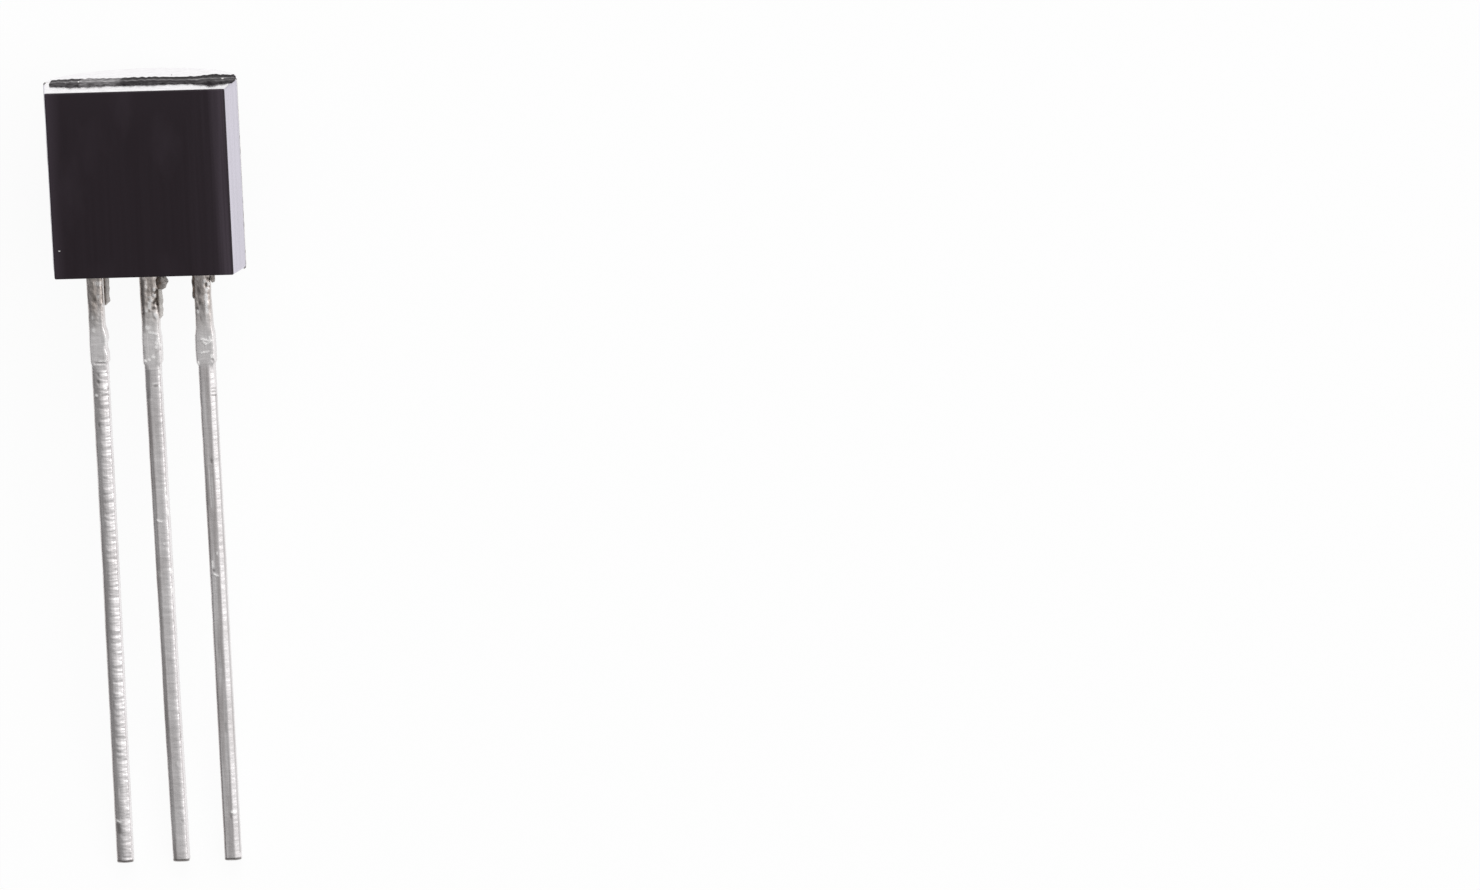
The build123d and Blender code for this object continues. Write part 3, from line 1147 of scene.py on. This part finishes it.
@dataclass(frozen=True)
class ScoreAndPaintedLight:
    """A line on a lead: its height lays a scratch left by the trimming tool or by handling, and its tone
    paints light on it, a glint where bright and shade where dark.
    """

    start: Flat
    end: Flat
    width: float
    height: float
    tone: float

    def weight(self, x: float, y: float) -> float:
        """How strongly a place feels the line.

        Args:
            x: the place across the leads.
            y: the height.

        Returns:
            The strength from 0 to 1.
        """
        run = (self.end[0] - self.start[0], self.end[1] - self.start[1])
        size = run[0] ** 2 + run[1] ** 2
        share = 0.0
        if size > 0:
            share = clamp(((x - self.start[0]) * run[0] + (y - self.start[1]) * run[1]) / size)
        away = math.hypot(x - self.start[0] - share * run[0], y - self.start[1] - share * run[1])
        return min(1.0, 1.4 * math.exp(-((away / self.width) ** 2)))


def read_scores_and_painted_light(rows: tuple[tuple[int, ...], ...]) -> list[ScoreAndPaintedLight]:
    """Reads scratches and their painted light from rows of whole numbers.

    Args:
        rows: for each line where it starts across and up, how far it runs across and up, its width and
            its height in thousandths of a millimetre, and its tone, the painted light from -100 for shade to
            100 for a glint.

    Returns:
        The lines in millimetres.
    """
    scores_and_painted_light = []
    for x, y, across, up, width, height, tone in rows:
        start, end = (x / 1000, y / 1000), ((x + across) / 1000, (y + up) / 1000)
        scores_and_painted_light.append(ScoreAndPaintedLight(start, end, width / 1000, height / 1000, tone / 100))
    return scores_and_painted_light


@dataclass
class Lead:
    """One leg of the lead frame with what it holds inside the body."""

    seat: LeadSeat
    centre: float
    crest: list[Flat]
    neck_crest: list[Flat]
    rolled: list[Flat]
    left_edge: list[Flat]
    right_edge: list[Flat]
    stub_painted_shine: float
    scores_and_painted_light: list[ScoreAndPaintedLight]
    plate: list[Box]
    lock_hole: Triple | None = None
    length: float = 14.1995
    half_thickness: float = 0.19
    edge_radius: float = 0.05
    stamped_radius: float = 0.012
    tip_shear: float = 0.075
    tip_drop: float = 0.062
    inside: float = 0.15
    fine_below: float = 3.10
    fine_step: float = 0.018
    step: float = 0.034
    top_steps: int = 32
    under_steps: int = 10
    hole_steps: int = 32
    stub_crest: tuple[Flat, ...] = (
        (-1.0, 0.03), (-0.85, 0.003), (-0.5, 0.0), (0.6, 0.0), (0.85, 0.008), (1.0, 0.035))
    coined_span: Flat = (-2.42, -2.16)
    necked_span: Flat = (-1.62, -0.95)
    crumpled_span: Flat = (-1.5, -0.6)
    dimmed_span: Flat = (-1.2, -0.7)
    coined_flatness: float = 0.36
    pressed_flatness: float = 0.48
    side_flatness: float = 0.6
    tip_dark_tone: float = -0.75
    highest_nick: float = 0.006
    edge_waves: Flat = (0.004, 0.3)
    ripples: Flat = (0.004, 0.10)
    sways: Flat = (0.005, 0.55)
    crumples: Flat = (0.012, 0.10)
    skin: Skin = field(default_factory=Skin)

    def drop(self, share: float, y: float) -> float:
        """How far the top lies below its crest: rolled facets on the shank, coined flat at the cut bar.

        Args:
            share: the place across, from -1 at the left to 1 at the right.
            y: the height.

        Returns:
            The drop in millimetres.
        """
        shank, stub, neck = (along(share, stops) for stops in (self.crest, self.stub_crest, self.neck_crest))
        coined, necked = ease(y, *self.coined_span), ease(y, *self.necked_span)
        return shank + (stub - shank) * coined + (neck - stub) * necked

    def roam(self, waves: Flat, x: float, y: float, z: float) -> float:
        """How far waves of a given height and length move a place."""
        return waves[0] * wander(x, y, z, waves[1])

    def edge_drop(self, share: float, half: float) -> float:
        """How far a rolled edge falls away at that share of the half width."""
        over = max(0.0, abs(share) * half - (half - self.edge_radius))
        return self.edge_radius - math.sqrt(max(self.edge_radius**2 - over**2, 0.0))

    def feel(self, x: float, y: float, tone: float) -> tuple[float, float]:
        """What all the scratches and their painted light do at one place.

        Args:
            x: the place across the leads.
            y: the height.
            tone: how bright it is without them.

        Returns:
            How far they raise it, and how bright it is with them, from -1 to 1.
        """
        lift = 0.0
        # Each line raises the lead by its height and paints light on it by its tone.
        for stroke in self.scores_and_painted_light:
            felt = stroke.weight(x, y)
            lift += stroke.height * felt
            tone += stroke.tone * felt
        return lift, clamp(tone, -1.0)

    def ring(self, y: float) -> tuple[list[Vector], list[float], list[float]]:
        """One ring round the leg.

        Args:
            y: how high it lies, below the body as a negative number.

        Returns:
            The points anticlockwise seen from the tip, how rolled each is, and the tone that each carries,
            which paints glints, shine and shade and darkens the tip.
        """
        left = self.centre + along(y, self.left_edge) + self.roam(self.edge_waves, self.centre, y, 1.0)
        right = self.centre + along(y, self.right_edge) + self.roam(self.edge_waves, self.centre, y, 4.0)
        middle, half = (left + right) / 2, (right - left) / 2
        above_tip = y + self.length
        shear = self.tip_drop * max(0.0, 1 - above_tip / self.tip_shear) ** 2
        # The plating is darker over the sheared slope at the tip.
        tip_dark = self.tip_dark_tone * (1 - ease(above_tip, self.tip_shear - 0.015, self.tip_shear + 0.01))
        sparkle = ease(y, *self.crumpled_span)
        coined = ease(y, *self.coined_span)
        pressed = coined * (1 - ease(y, *self.necked_span))
        # Painted shine: the coined stub is made brighter from the cut dam bar up towards the neck.
        painted_shine = self.stub_painted_shine * coined * (1 - ease(y, *self.dimmed_span))
        points, rolled, tones = [], [], []
        for step in range(self.top_steps + 1):
            share = math.sin(math.pi / 2 * (2 * step / self.top_steps - 1))
            x = middle + share * half
            strip = along(share, self.rolled)
            flatness = max(strip + (self.pressed_flatness - strip) * pressed, self.coined_flatness * coined)
            ripple = (1 - flatness) * self.roam(self.ripples, x * 0.35, y, self.centre)
            sway = self.roam(self.sways, x, y, 11.0) + sparkle * self.roam(self.crumples, x, y, 21.0)
            lift, tone = self.feel(x, y, tip_dark + painted_shine)
            z = (self.half_thickness - self.drop(share, y) - self.edge_drop(share, half) + ripple + sway
                 + lift - shear)
            points.append(Vector((x, y, min(z, self.half_thickness + self.highest_nick))))
            rolled.append(flatness)
            tones.append(tone)
        base = -(self.half_thickness - self.edge_radius)
        left_top, right_top = points[0].z, points[-1].z
        points += [Vector((right, y, right_top + (base - right_top) * share)) for share in (0.33, 0.66)]
        for step in range(self.under_steps + 1):
            share = math.cos(math.pi * step / self.under_steps)
            z = -self.half_thickness + self.edge_drop(share, half)
            points.append(Vector((middle + share * half, y, z)))
        points += [Vector((left, y, left_top + (base - left_top) * share)) for share in (0.66, 0.33)]
        rest = len(points) - len(rolled)
        return points, rolled + [self.side_flatness] * rest, tones + [0.0] * rest

    def build_leg(self) -> None:
        """Sweeps the leg from inside the body to its sheared tip."""
        below = self.length - self.fine_below
        fine = round((self.fine_below + self.inside) / self.fine_step)
        coarse = round(below / self.step)
        heights = [self.inside - (self.inside + self.fine_below) * i / fine for i in range(fine)]
        heights += [-self.fine_below - below * i / coarse for i in range(coarse - 2)]
        heights += [self.tip_shear * (1.3 - step / 4) - self.length for step in range(5)] + [-self.length]
        rings = []
        for y in heights:
            points, rolled, tones = self.ring(y)
            rings.append(self.skin.ring(points, rolled=rolled, tone=tones))
        self.skin.stack(rings, TinSkin.PLATED)
        self.skin.face(rings[0][::-1], TinSkin.PLATED)
        self.skin.face(rings[-1], TinSkin.SHEARED)

    def build_plate(self) -> None:
        """The stamped part inside the body: stem, anchor, and paddle or post, with its lock hole."""
        right_side = [(right, y) for _, right, low, high in self.plate for y in (low, high)]
        left_side = [(left, y) for left, _, low, high in self.plate[::-1] for y in (high, low)]
        loops = [right_side + left_side]
        if self.lock_hole is not None:
            x, y, radius = self.lock_hole
            turns = [2 * math.pi * step / self.hole_steps for step in range(self.hole_steps)]
            loops.append([(x + radius * math.cos(turn), y + radius * math.sin(turn)) for turn in turns])
        curve = bpy.data.curves.new(self.seat.value + "_plate", "CURVE")
        curve.dimensions = "2D"
        curve.fill_mode = "BOTH"
        curve.extrude = self.half_thickness - self.stamped_radius
        curve.bevel_depth = self.stamped_radius
        curve.bevel_resolution = 2
        curve.offset = -self.stamped_radius
        for loop in loops:
            spline = curve.splines.new("POLY")
            spline.points.add(len(loop) - 1)
            for point, (x, y) in zip(spline.points, loop):
                point.co = (x, y, 0, 1)
            spline.use_cyclic_u = True
        carrier = set_down(curve.name, curve)
        bpy.context.view_layer.update()
        solid = carrier.evaluated_get(bpy.context.evaluated_depsgraph_get())
        plate = bpy.data.meshes.new_from_object(solid)
        self.skin.graft(plate, TinSkin.PLATED)
        bpy.data.objects.remove(carrier)
        bpy.data.meshes.remove(plate)

    def build(self, finishes: list[Material]) -> Piece:
        """Makes the lead as one piece.

        Args:
            finishes: tin plate and sheared end.

        Returns:
            The dressed lead.
        """
        self.build_leg()
        self.build_plate()
        lead = self.skin.piece("plated_" + self.seat.value, finishes)
        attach(lead, "root")
        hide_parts(self.seat.value)
        return lead


# Lines on each lead: scratches by their heights, painted glints and painted shade by their tones.
COLLECTOR_SCORES_AND_PAINTED_LIGHT = (
    (-1217, -307, 104, -3, 44, 0, 55), (-1204, -602, -1, -5, 35, 4, 60), (-1295, -664, 0, -6, 39, -8, -50),
    (-1397, -408, 8, -495, 50, 0, -15), (-1035, -253, -12, -541, 24, -20, -60),
    (-1026, -842, 23, -1, 26, -15, -80), (-1094, -817, -2, -23, 28, 6, 90), (-1357, -1387, 4, -24, 35, 3, 50),
    (-1365, -1092, 5, -24, 30, 2, 40), (-1092, -1564, 1, -157, 26, 8, 90), (-1073, -1751, 9, -10, 28, 6, 100),
    (-1036, -1526, 3, -79, 22, -6, -45), (-1269, -2134, 175, 7, 18, 4, 60),
    (-1358, -2179, 222, -2, 19, -10, -55), (-1302, -2212, 136, 0, 18, 3, 35),
    (-1086, -2155, 7, -59, 26, -8, -30), (-1167, -2399, 4, -40, 28, 6, 90),
    (-1314, -2435, 8, -30, 26, -8, -40), (-1323, -2603, 7, -39, 28, -10, -50),
    (-1176, -2745, 2, -39, 28, 6, 90), (-1376, -2933, 11, -8, 30, 8, 100),
    (-1128, -2766, 46, -31, 26, -6, -35), (-1245, -2941, 155, -8, 19, -6, -35),
    (-1159, -2429, 59, 8, 18, -4, -25), (-1441, -13151, 76, -39, 25, 6, 90),
    (-1416, -13274, 14, -172, 42, -6, -45), (-1352, -3626, 1, -36, 24, -8, -45),
    (-1372, -10254, 0, -145, 28, -3, -25),
)
BASE_SCORES_AND_PAINTED_LIGHT = (
    (-167, -265, -28, -764, 44, -6, -55), (-191, -1053, -16, -412, 35, -3, -25),
    (-93, -290, 3, -165, 19, 2, 50), (29, -293, -3, -271, 26, -4, -35), (95, -472, 1, -23, 33, 8, 100),
    (88, -601, 5, -24, 33, 8, 100), (-32, -792, 43, 52, 33, 10, 100), (-36, -869, 4, -35, 33, 8, 100),
    (-111, -961, 3, -23, 28, 6, 90), (81, -1060, 32, -60, 28, 6, 80), (-60, -654, 75, -6, 19, 4, 60),
    (-114, -1362, 22, -12, 33, 6, 90), (151, -497, -5, -329, 33, -25, -100), (96, -554, 42, 22, 26, -15, -90),
    (60, -800, 56, 80, 28, -18, -90), (36, -929, 24, 11, 33, -12, -80), (156, -850, 20, -166, 26, -18, -90),
    (187, -1040, 0, -212, 19, -10, -60), (-59, -962, 10, -36, 24, -6, -50),
    (-123, -1078, 12, -213, 35, 0, -20), (48, -1142, 20, -59, 28, -4, -30), (-82, -1477, 162, -43, 19, 6, 90),
    (-235, -1823, 15, -257, 26, -4, -30), (112, -1655, 2, -39, 26, 8, 100), (69, -1733, 18, -20, 26, 8, 100),
    (64, -1831, 9, -10, 26, 8, 90), (173, -1779, 19, -12, 24, 6, 100), (27, -1992, 160, 114, 19, -6, -40),
    (-20, -2061, 16, -5, 26, 8, 100), (-116, -2122, 10, -4, 24, 6, 90), (-210, -2143, 19, -8, 24, 6, 90),
    (-140, -2397, -23, -612, 39, -4, -30), (117, -2404, 2, -44, 24, 6, 100),
    (-13, -2752, 58, 10, 26, -6, -40), (-59, -2695, 87, -3, 18, 3, 60), (94, -2769, 10, -30, 24, 5, 80),
    (-166, -2349, 329, -1, 18, 3, 35), (-122, -5932, 103, -41, 19, 8, 100), (103, -5202, -2, -83, 23, 4, 90),
    (130, -5393, -1, -72, 21, 4, 90), (134, -5692, 0, -120, 21, 4, 90), (124, -6147, -3, -95, 21, 4, 90),
    (8, -6489, 13, -24, 18, 4, 80), (139, -7118, 0, -84, 25, 4, 90), (133, -7587, -2, -96, 25, 4, 80),
    (-152, -7171, 30, -97, 42, 2, 35), (89, -13177, 22, -37, 28, -4, -30), (149, -11094, 3, -73, 24, -3, -20),
    (43, -11772, 1, -86, 22, 4, 40),
)
EMITTER_SCORES_AND_PAINTED_LIGHT = (
    (1134, -300, 0, -223, 50, 0, -35), (1145, -547, 10, -259, 50, 0, -15), (1096, -261, 11, -7, 26, 4, 60),
    (1267, -309, 11, -18, 30, 8, 100), (1295, -363, -3, -70, 22, -15, -90), (1345, -364, 2, -41, 26, 8, 100),
    (1298, -492, 53, 4, 26, 6, 90), (1381, -448, 9, -23, 26, -12, -80), (1345, -258, 22, -25, 35, -12, -90),
    (1224, -361, 3, -47, 22, 4, 50), (1283, -669, 0, -47, 35, 6, 100), (1280, -739, 6, -118, 28, 4, 90),
    (1289, -1010, 10, -30, 26, 4, 80), (1296, -539, 0, -118, 26, 2, 50), (1284, -881, 7, -94, 26, 2, 60),
    (1383, -542, -20, -966, 35, 0, -30), (1075, -1005, 1, -29, 26, 6, 90), (1055, -945, 5, -24, 24, -8, -60),
    (1122, -817, 2, -36, 22, -6, -50), (1125, -1159, 9, -59, 19, -4, -40),
    (1048, -1204, -21, -295, 35, 0, -15), (1126, -1670, 220, -57, 19, 10, 100),
    (1171, -1746, 56, -43, 18, 6, 80), (1236, -1790, 80, 44, 18, 4, 60), (1312, -1628, 7, -59, 18, 4, 70),
    (1110, -1993, 160, 31, 18, 4, 60), (1018, -2211, 8, -69, 22, 8, 100), (1339, -2062, 1, -49, 22, 4, 70),
    (1353, -2161, 45, -60, 26, -8, -40), (1044, -1582, -18, -531, 26, 0, -20),
    (1318, -2851, 97, 2, 18, -3, -35), (1314, -2930, 97, 2, 18, -3, -35), (1310, -3018, 97, 1, 18, -3, -35),
    (1138, -7257, 83, -29, 21, 8, 100), (1111, -6951, 2, -157, 23, 5, 75), (1230, -6727, 3, -48, 18, 4, 70),
    (1125, -7144, 8, -36, 23, -8, -50), (1208, -4527, -1, -59, 22, -6, -45),
    (1213, -10853, -7, -194, 22, -3, -20), (1264, -12999, 60, -30, 26, 8, 100),
    (1229, -13095, 2, -49, 20, -5, -35), (1388, -3000, 21, -11000, 18, 0, -35),
    (1150, -4750, 8, -900, 14, 0, 50), (1205, -4950, 7, -700, 12, 0, 40), (1095, -4700, 5, -900, 22, 0, -20),
    (1178, -4850, 7, -750, 12, 0, -20), (1170, -8950, 10, -500, 40, 0, -12),
)


@dataclass
class LeadFrame:
    """The three leads, each with its own rolled facets, trimming scars with painted glints and shade, and
    sway.
    """

    pitch: float = 1.27
    width: float = 0.38
    stem_half: float = 0.18
    anchor_half: float = 0.31
    anchor_low: float = 0.40
    anchor_high: float = 0.75

    def plate(self, centre: float, post: Box) -> list[Box]:
        """The boxes of a lead's inner part from bottom to top: stem, anchor, stem and post.

        Args:
            centre: the middle of its stem.
            post: left, right, bottom and top of its paddle or post.

        Returns:
            Each box as left, right, bottom and top.
        """
        stem = (centre - self.stem_half, centre + self.stem_half)
        anchor = (centre - self.anchor_half, centre + self.anchor_half)
        return [
            (*stem, 0.0, self.anchor_low), (*anchor, self.anchor_low, self.anchor_high),
            (*stem, self.anchor_high, post[2]), post,
        ]

    def edges(self, shank: list[Flat], stub: Flat, stub_low: float, neck: list[Triple]
              ) -> dict[str, list[Flat]]:
        """The two sides of a lead from its tip up, as distances from its nominal middle.

        Args:
            shank: stops of height and of the left side, which the right side follows a width away.
            stub: the left and right side over the trimmed dam bar.
            stub_low: where the dam bar was cut off below.
            neck: stops of height, left side and right side from the stub to the body.

        Returns:
            The stops of both sides, by the lead's own names for them.
        """
        below, above = stub_low - 0.04, stub_low + 0.03
        left = [*shank, (below, shank[-1][1]), (above, stub[0])]
        right = [(y, x + self.width) for y, x in shank]
        right += [(below, shank[-1][1] + self.width), (above, stub[1])]
        left += [(y, low) for y, low, _ in neck]
        right += [(y, high) for y, _, high in neck]
        return {"left_edge": left, "right_edge": right}

    def collector(self) -> Lead:
        """The left lead: a smooth dark strip on its left, ripples over the rest.

        Returns:
            The lead with its sizes.
        """
        return Lead(
            LeadSeat.COLLECTOR, -self.pitch,
            crest=[(-1.0, 0.056), (-0.6, 0.025), (-0.25, 0.004), (0.0, 0.0), (0.3, 0.006), (1.0, 0.06)],
            neck_crest=[(-1.0, 0.045), (-0.1, 0.003), (0.05, 0.0), (0.7, 0.0), (1.0, 0.01)],
            rolled=[(-1.0, 1.0), (-0.5, 0.8), (-0.1, 0.0), (1.0, 0.0)],
            stub_painted_shine=0.22, plate=self.plate(-self.pitch, (-1.56, 0.49, 1.85, 3.45)),
            lock_hole=(-1.11, 3.0, 0.20),
            **self.edges(
                [(-14.2, -0.240), (-11.0, -0.226), (-8.4, -0.212), (-5.5, -0.202), (-3.0, -0.192)],
                (-0.210, 0.225), -2.20,
                [(-1.98, -0.212, 0.225), (-1.86, -0.212, 0.190), (-1.76, -0.214, 0.190),
                 (-1.64, -0.214, 0.225), (-1.52, -0.208, 0.215), (-1.34, -0.202, 0.165),
                 (-0.9, -0.200, 0.160), (0.0, -0.202, 0.165)]),
            scores_and_painted_light=read_scores_and_painted_light(COLLECTOR_SCORES_AND_PAINTED_LIGHT))

    def base(self) -> Lead:
        """The middle lead: dark on its left, grey down its middle, bright and nicked on its right.

        Returns:
            The lead with its sizes.
        """
        return Lead(
            LeadSeat.BASE, 0.0,
            crest=[(-1.0, 0.036), (-0.6, 0.010), (-0.4, 0.0), (0.44, 0.0), (0.68, 0.007), (1.0, 0.041)],
            neck_crest=[(-1.0, 0.055), (-0.62, 0.004), (-0.5, 0.0), (0.5, 0.0), (1.0, 0.02)],
            rolled=[(-1.0, 1.0), (-0.5, 1.0), (-0.4, 0.5), (0.35, 0.4), (0.55, 0.34), (1.0, 0.34)],
            stub_painted_shine=0.36, plate=self.plate(0.0, (-0.42, 0.42, 0.98, 1.53)),
            **self.edges(
                [(-14.2, -0.185), (-11.8, -0.198), (-10.3, -0.211), (-8.0, -0.216), (-5.5, -0.225),
                 (-3.0, -0.237)],
                (-0.262, 0.185), -2.24,
                [(-1.65, -0.264, 0.190), (-1.50, -0.256, 0.160), (-1.30, -0.248, 0.165),
                 (-0.9, -0.250, 0.175), (0.0, -0.252, 0.180)]),
            scores_and_painted_light=read_scores_and_painted_light(BASE_SCORES_AND_PAINTED_LIGHT))

    def emitter(self) -> Lead:
        """The right lead: grey over most of its width, with a bright rolled strip on its right.

        Returns:
            The lead with its sizes.
        """
        return Lead(
            LeadSeat.EMITTER, self.pitch,
            crest=[(-1.0, 0.03), (-0.7, 0.008), (0.29, 0.0), (0.39, 0.004), (1.0, 0.068)],
            neck_crest=[(-1.0, 0.04), (0.15, 0.006), (0.25, 0.0), (0.55, 0.012), (1.0, 0.03)],
            rolled=[(-1.0, 0.85), (0.25, 0.8), (0.40, 0.42), (1.0, 0.42)],
            stub_painted_shine=0.27, plate=self.plate(self.pitch, (0.81, 1.59, 1.90, 2.80)),
            **self.edges(
                [(-14.2, -0.233), (-10.0, -0.240), (-7.0, -0.240), (-5.5, -0.245), (-3.0, -0.256)],
                (-0.300, 0.158), -2.26,
                [(-1.92, -0.308, 0.160), (-1.60, -0.305, 0.155), (-1.42, -0.272, 0.130),
                 (-1.0, -0.266, 0.110), (-0.7, -0.268, 0.100), (0.0, -0.262, 0.125)]),
            scores_and_painted_light=read_scores_and_painted_light(EMITTER_SCORES_AND_PAINTED_LIGHT))

    def build(self) -> list[Piece]:
        """Makes the three leads with one tin finish between them."""
        finishes = [TIN_PLATE.material(), SHEARED_END.material()]
        return [lead.build(finishes) for lead in (self.collector(), self.base(), self.emitter())]


@dataclass
class HiddenBonds:
    """The chip and its bonds inside the resin: their frame shapes are kept and dressed."""

    def dress(self) -> None:
        """Gives each kept shape its finish."""
        gold = GOLD_WIRE.material()
        finishes = {
            "transistor_die": SILICON.material(), "die_attach": SILVER_PASTE.material(),
            "base_bond_wire": gold, "emitter_bond_wire": gold,
        }
        for node, finish in finishes.items():
            for slot in frame["nodes"][node].material_slots:
                slot.material = finish
            log.info("dressed %s with %s", node, finish.name)


@dataclass
class Studio:
    """A white table and plain soft light that comes mostly from the right and from behind."""

    table_half: float = 0.5
    table_gap: float = 2e-7
    sky_depth: Box = (-0.8, 0.3, 0.5, 1.45)
    sky_stops: tuple[Flat, ...] = ((0.0, 0.16), (0.25, 0.33), (0.44, 0.50), (0.62, 0.78), (0.85, 0.92))
    aim: Triple = (0.0, 0.002, 0.0)
    lamps: tuple[tuple[str, Triple, float, float], ...] = (
        ("right_softbox", (0.26, 0.04, 0.15), 0.22, 0.14),
        ("rear_softbox", (0.04, 0.28, 0.16), 0.20, 0.36),
    )

    def build_table(self) -> None:
        """The table top, just under the lowest point of the part."""
        height, half = cad_box[0][2] - self.table_gap, self.table_half
        mesh = bpy.data.meshes.new("white_table")
        corners = [(-half, -half, height), (half, -half, height), (half, half, height), (-half, half, height)]
        mesh.from_pydata(corners, [], [(0, 1, 2, 3)])
        mesh.materials.append(WHITE_TABLE.material())
        set_down("white_table", mesh)

    def build_sky(self) -> None:
        """Soft light from all round, dim on the left and in front, which the camera sees as plain white."""
        sky = bpy.data.worlds.new("soft_sky")
        bpy.context.scene.world = sky
        sky.use_nodes = True
        graph = Graph(sky.node_tree)
        place = graph.node("ShaderNodeTexCoord").outputs["Generated"]
        parted = graph.node("ShaderNodeSeparateXYZ", {0: place}).outputs
        ramp = graph.node("ShaderNodeValToRGB", {"Fac": graph.spread(parted["X"], -1.0, 1.0)})
        ramp.color_ramp.interpolation = "EASE"
        while len(ramp.color_ramp.elements) < len(self.sky_stops):
            ramp.color_ramp.elements.new(0.5)
        for element, (position, level) in zip(ramp.color_ramp.elements, self.sky_stops):
            element.position = position
            element.color = (level, level, level, 1.0)
        depth = graph.spread(parted["Y"], *self.sky_depth)
        feeds = {0: ramp.outputs["Color"], "Scale": depth}
        light = graph.node("ShaderNodeVectorMath", feeds, operation="SCALE").outputs["Vector"]
        seen = graph.node("ShaderNodeLightPath").outputs["Is Camera Ray"]
        back = graph.tree.nodes["Background"].inputs
        graph.feed(back["Color"], graph.blend(seen, light, WHITE))
        graph.feed(back["Strength"], 1.0)

    def build_lamp(self, name: str, place: Triple, size: float, power: float) -> None:
        """One square softbox that points at the part.

        Args:
            name: what it is called.
            place: where it hangs, in metres.
            size: its side.
            power: its power in watts.
        """
        lamp = bpy.data.lights.new(name, "AREA")
        lamp.shape = "SQUARE"
        lamp.size = size
        lamp.energy = power
        hung = set_down(name, lamp)
        hung.location = place
        hung.rotation_euler = (Vector(self.aim) - Vector(place)).to_track_quat("-Z", "Y").to_euler()

    def build(self) -> None:
        """Sets up the table, the sky and the lamps."""
        self.build_table()
        self.build_sky()
        for lamp in self.lamps:
            self.build_lamp(*lamp)


@dataclass
class ProductCamera:
    """The long lens that looks almost straight down, from the right of the part, placed in millimetres."""

    place: Triple = (17.677, 11.675, 143.640)
    lean: float = -4.59
    swing: float = 1.70
    roll: float = -1.61
    lens: float = 150.0
    sensor: float = 36.0
    nearest: float = MM
    farthest: float = 10.0

    def build(self) -> bpy.types.Object:
        """Makes the camera and gives it to the scene.

        Returns:
            The camera.
        """
        data = bpy.data.cameras.new("product_camera")
        data.lens = self.lens
        data.sensor_width = self.sensor
        data.clip_start = self.nearest
        data.clip_end = self.farthest
        camera = set_down("product_camera", data)
        turn = Matrix.Identity(4)
        for angle, axis in ((self.swing, "Y"), (self.lean, "X"), (self.roll, "Z")):
            turn = turn @ Matrix.Rotation(math.radians(angle), 4, axis)
        camera.matrix_world = Matrix.Translation(Vector(self.place) * MM) @ turn
        bpy.context.scene.camera = camera
        return camera


def main() -> None:
    """Builds the pieces in order and reports each."""
    logging.basicConfig(level=logging.INFO, format="%(name)s: %(message)s")
    bpy.context.scene.view_settings.view_transform = "Standard"
    pieces = [MouldedBody().build(), *LeadFrame().build()]
    for piece in pieces:
        log.info("built %s with %d faces", piece.name, len(piece.data.polygons))
    HiddenBonds().dress()
    Studio().build()
    camera = ProductCamera().build()
    log.info("%s looks from %s", camera.name, tuple(round(value, 4) for value in camera.location))


if __name__ == "__main__":
    main()
